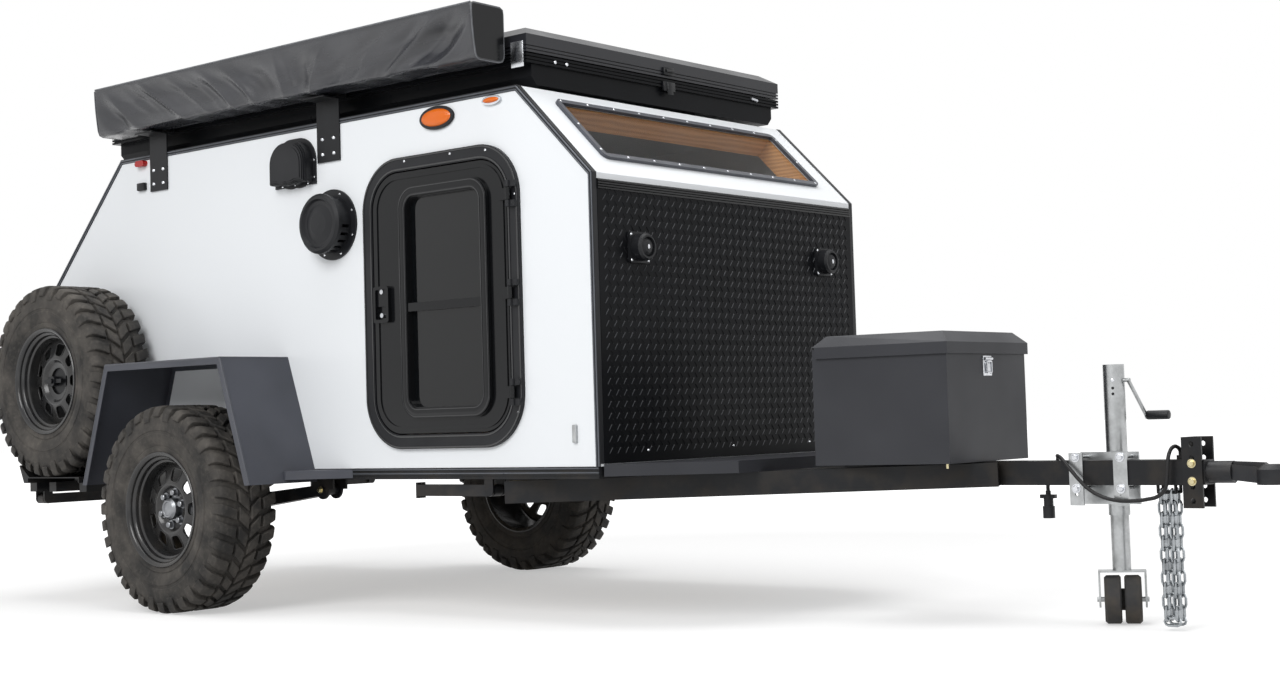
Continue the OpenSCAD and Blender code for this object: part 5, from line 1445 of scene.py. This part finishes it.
def mattressRise(u, v):
    # height of the top face over the pad's shoulder, at shares of its length and width
    power, (along, across) = mattress["square"], mattress["quilts"]
    quilt = abs(sin(pi * (u + 0.5) * along) * sin(pi * (v + 0.5) * across)) ** 0.5
    crown = 1 - (2 * u) ** power - (2 * v) ** power + (4 * u * v) ** power
    full = max(0, crown)
    droop = mattress["edge"] * (1 - full) * mattress["droop"]
    return mattress["crown"] * crown - mattress["tuft"] * (1 - quilt) * full - droop


def tentMattress():
    low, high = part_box("tent_mattress")
    nx, ny = mattress["cells"]
    deselect()
    bpy.ops.mesh.primitive_grid_add(x_subdivisions=nx, y_subdivisions=ny, size=1)
    obj = bpy.context.object
    edit(obj)
    bpy.ops.mesh.extrude_region_move(TRANSFORM_OT_translate={"value": (0, 0, 1)})
    closeUp(obj)
    size, middle, edge = high - low, (low + high) / 2, mattress["edge"]
    for vertex in obj.data.vertices:
        u, v, top = vertex.co.x, vertex.co.y, vertex.co.z > 0.5
        x, y, z = u * (size.x - 2 * edge), v * (size.y - 2 * edge), low.z
        if top:
            z += size.z - mattress["crown"] + mattressRise(u, v)
        elif max(abs(u), abs(v)) > 0.499:  # the bottom edge spreads a little
            x, y = x * mattress["foot"][0], y * mattress["foot"][1]
        vertex.co = (middle.x + x, middle.y + y, z)
    fit(obj, "TentMattressPad", "trailer", "mattress_cloth", 60)
    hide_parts("tent_mattress")


tentMattress()

# tent wall: folded cloth between base and lid, in one fixed folded shape
tentWall = {"length": 2.330, "width": 1.260, "corner": 0.03, "middle": (0.375, 0.030), "low": 1.943,
            "high": 2.004, "folds": 9, "deep": 0.035, "columns": 120, "thick": 0.0012}


def tentCloth():
    wall = tentWall
    outline = evenOutline(wall["length"], wall["width"], wall["corner"], wall["columns"])
    rows = 2 * wall["folds"]
    deselect()
    bpy.ops.mesh.primitive_cylinder_add(vertices=wall["columns"], radius=1, depth=1, end_fill_type="NOTHING")
    obj = bpy.context.object
    for k in range(1, rows):
        edit(obj)
        bpy.ops.mesh.bisect(plane_co=(0, 0, k / rows - 0.5), plane_no=(0, 0, 1))
        bpy.ops.object.mode_set(mode="OBJECT")
    middle = spot(*wall["middle"], 0)
    for vertex in obj.data.vertices:
        up = vertex.co.z + 0.5
        turn = atan2(vertex.co.y, vertex.co.x) / (2 * pi) * wall["columns"]
        x, y = outline[int(round(turn)) % wall["columns"]]
        tuck = wall["deep"] * (int(round(up * rows)) % 2)
        shrink = Vector((x * (1 - 2 * tuck / wall["length"]), y * (1 - 2 * tuck / wall["width"]), 0))
        vertex.co = middle + shrink + Vector((0, 0, wall["low"] + up * (wall["high"] - wall["low"])))
    modify(obj, "SOLIDIFY", thickness=wall["thick"], offset=0)
    obj.name = obj.data.name = "TentCloth"
    obj.data.materials.append(finish["tent_cloth"])
    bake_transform(obj)


tentCloth()
print("tent bedded")

# studio: pale floor, soft lamps and a white surround
studio = {
    "lamps": {
        "key": dict(place=(1.5, -7.5, 5.5), size=5.0, power=410),
        "front": dict(place=(7.5, 1.0, 4.5), size=4.5, power=70),
        "top": dict(place=(0.0, 0.0, 8.0), size=7.0, power=340),
    },
    "aim": (0, 0, 0.9),
    "ambient": 0.46,
    "floorSize": 120,
    "floorHeight": -0.001,
    "floorTone": 0.62,
    "floorRough": 0.9,
    "floorGlow": 0.46,
    "fade": (3.5, 8.0),  # the floor turns to plain white between these distances
}


def seenRay(paint):
    # 1 on rays that show the surround itself: camera, gloss and glass
    seen, gloss, glass = (paint.node("LightPath", {}, {}, "Is %s Ray" % kind)
                          for kind in ("Camera", "Glossy", "Transmission"))
    return paint.node("Math", {"operation": "ADD", "use_clamp": True}, {0: seen + gloss, 1: glass})


class Surround(Paint):
    def __init__(self, world):
        self.tree = world.node_tree
        self.shader = self.tree.nodes["Background"]


def hangLamps():
    for name, lamp in studio["lamps"].items():
        deselect()
        bpy.ops.object.light_add(type="AREA", location=lamp["place"])
        made = bpy.context.object
        made.name = name + "Lamp"
        made.data.shape = "DISK"
        made.data.size = lamp["size"]
        made.data.energy = lamp["power"]
        aim = Vector(studio["aim"]) - Vector(lamp["place"])
        made.rotation_euler = aim.to_track_quat("-Z", "Y").to_euler()


def whiteSurround():
    world = bpy.data.worlds.new("surround")
    world.use_nodes = True
    scene.world = world
    paint = Surround(world)
    seen = seenRay(paint)
    paint.set(Color=(1, 1, 1, 1), Strength=seen + (1 - seen) * studio["ambient"])


def paleFloor():
    deselect()
    bpy.ops.mesh.primitive_plane_add(size=studio["floorSize"], location=(0, 0, studio["floorHeight"]))
    floor = bpy.context.object
    floor.name = "studioFloor"
    pale = Paint("studioFloor", Base_Color=(studio["floorTone"],) * 3 + (1,), Roughness=studio["floorRough"],
                 Specular_IOR_Level=0.0, Emission_Strength=1)
    reach = pale.node("VectorMath", {"operation": "LENGTH"}, {0: pale.place}, "Value")
    glow = pale.ramp(reach, *studio["fade"], studio["floorGlow"], 1)
    pale.set(Emission_Color=pale.tint(seenRay(pale) * glow, (0, 0, 0, 1), (1, 1, 1, 1)))
    floor.data.materials.append(pale.material)


hangLamps()
whiteSurround()
paleFloor()
print("studio lit")
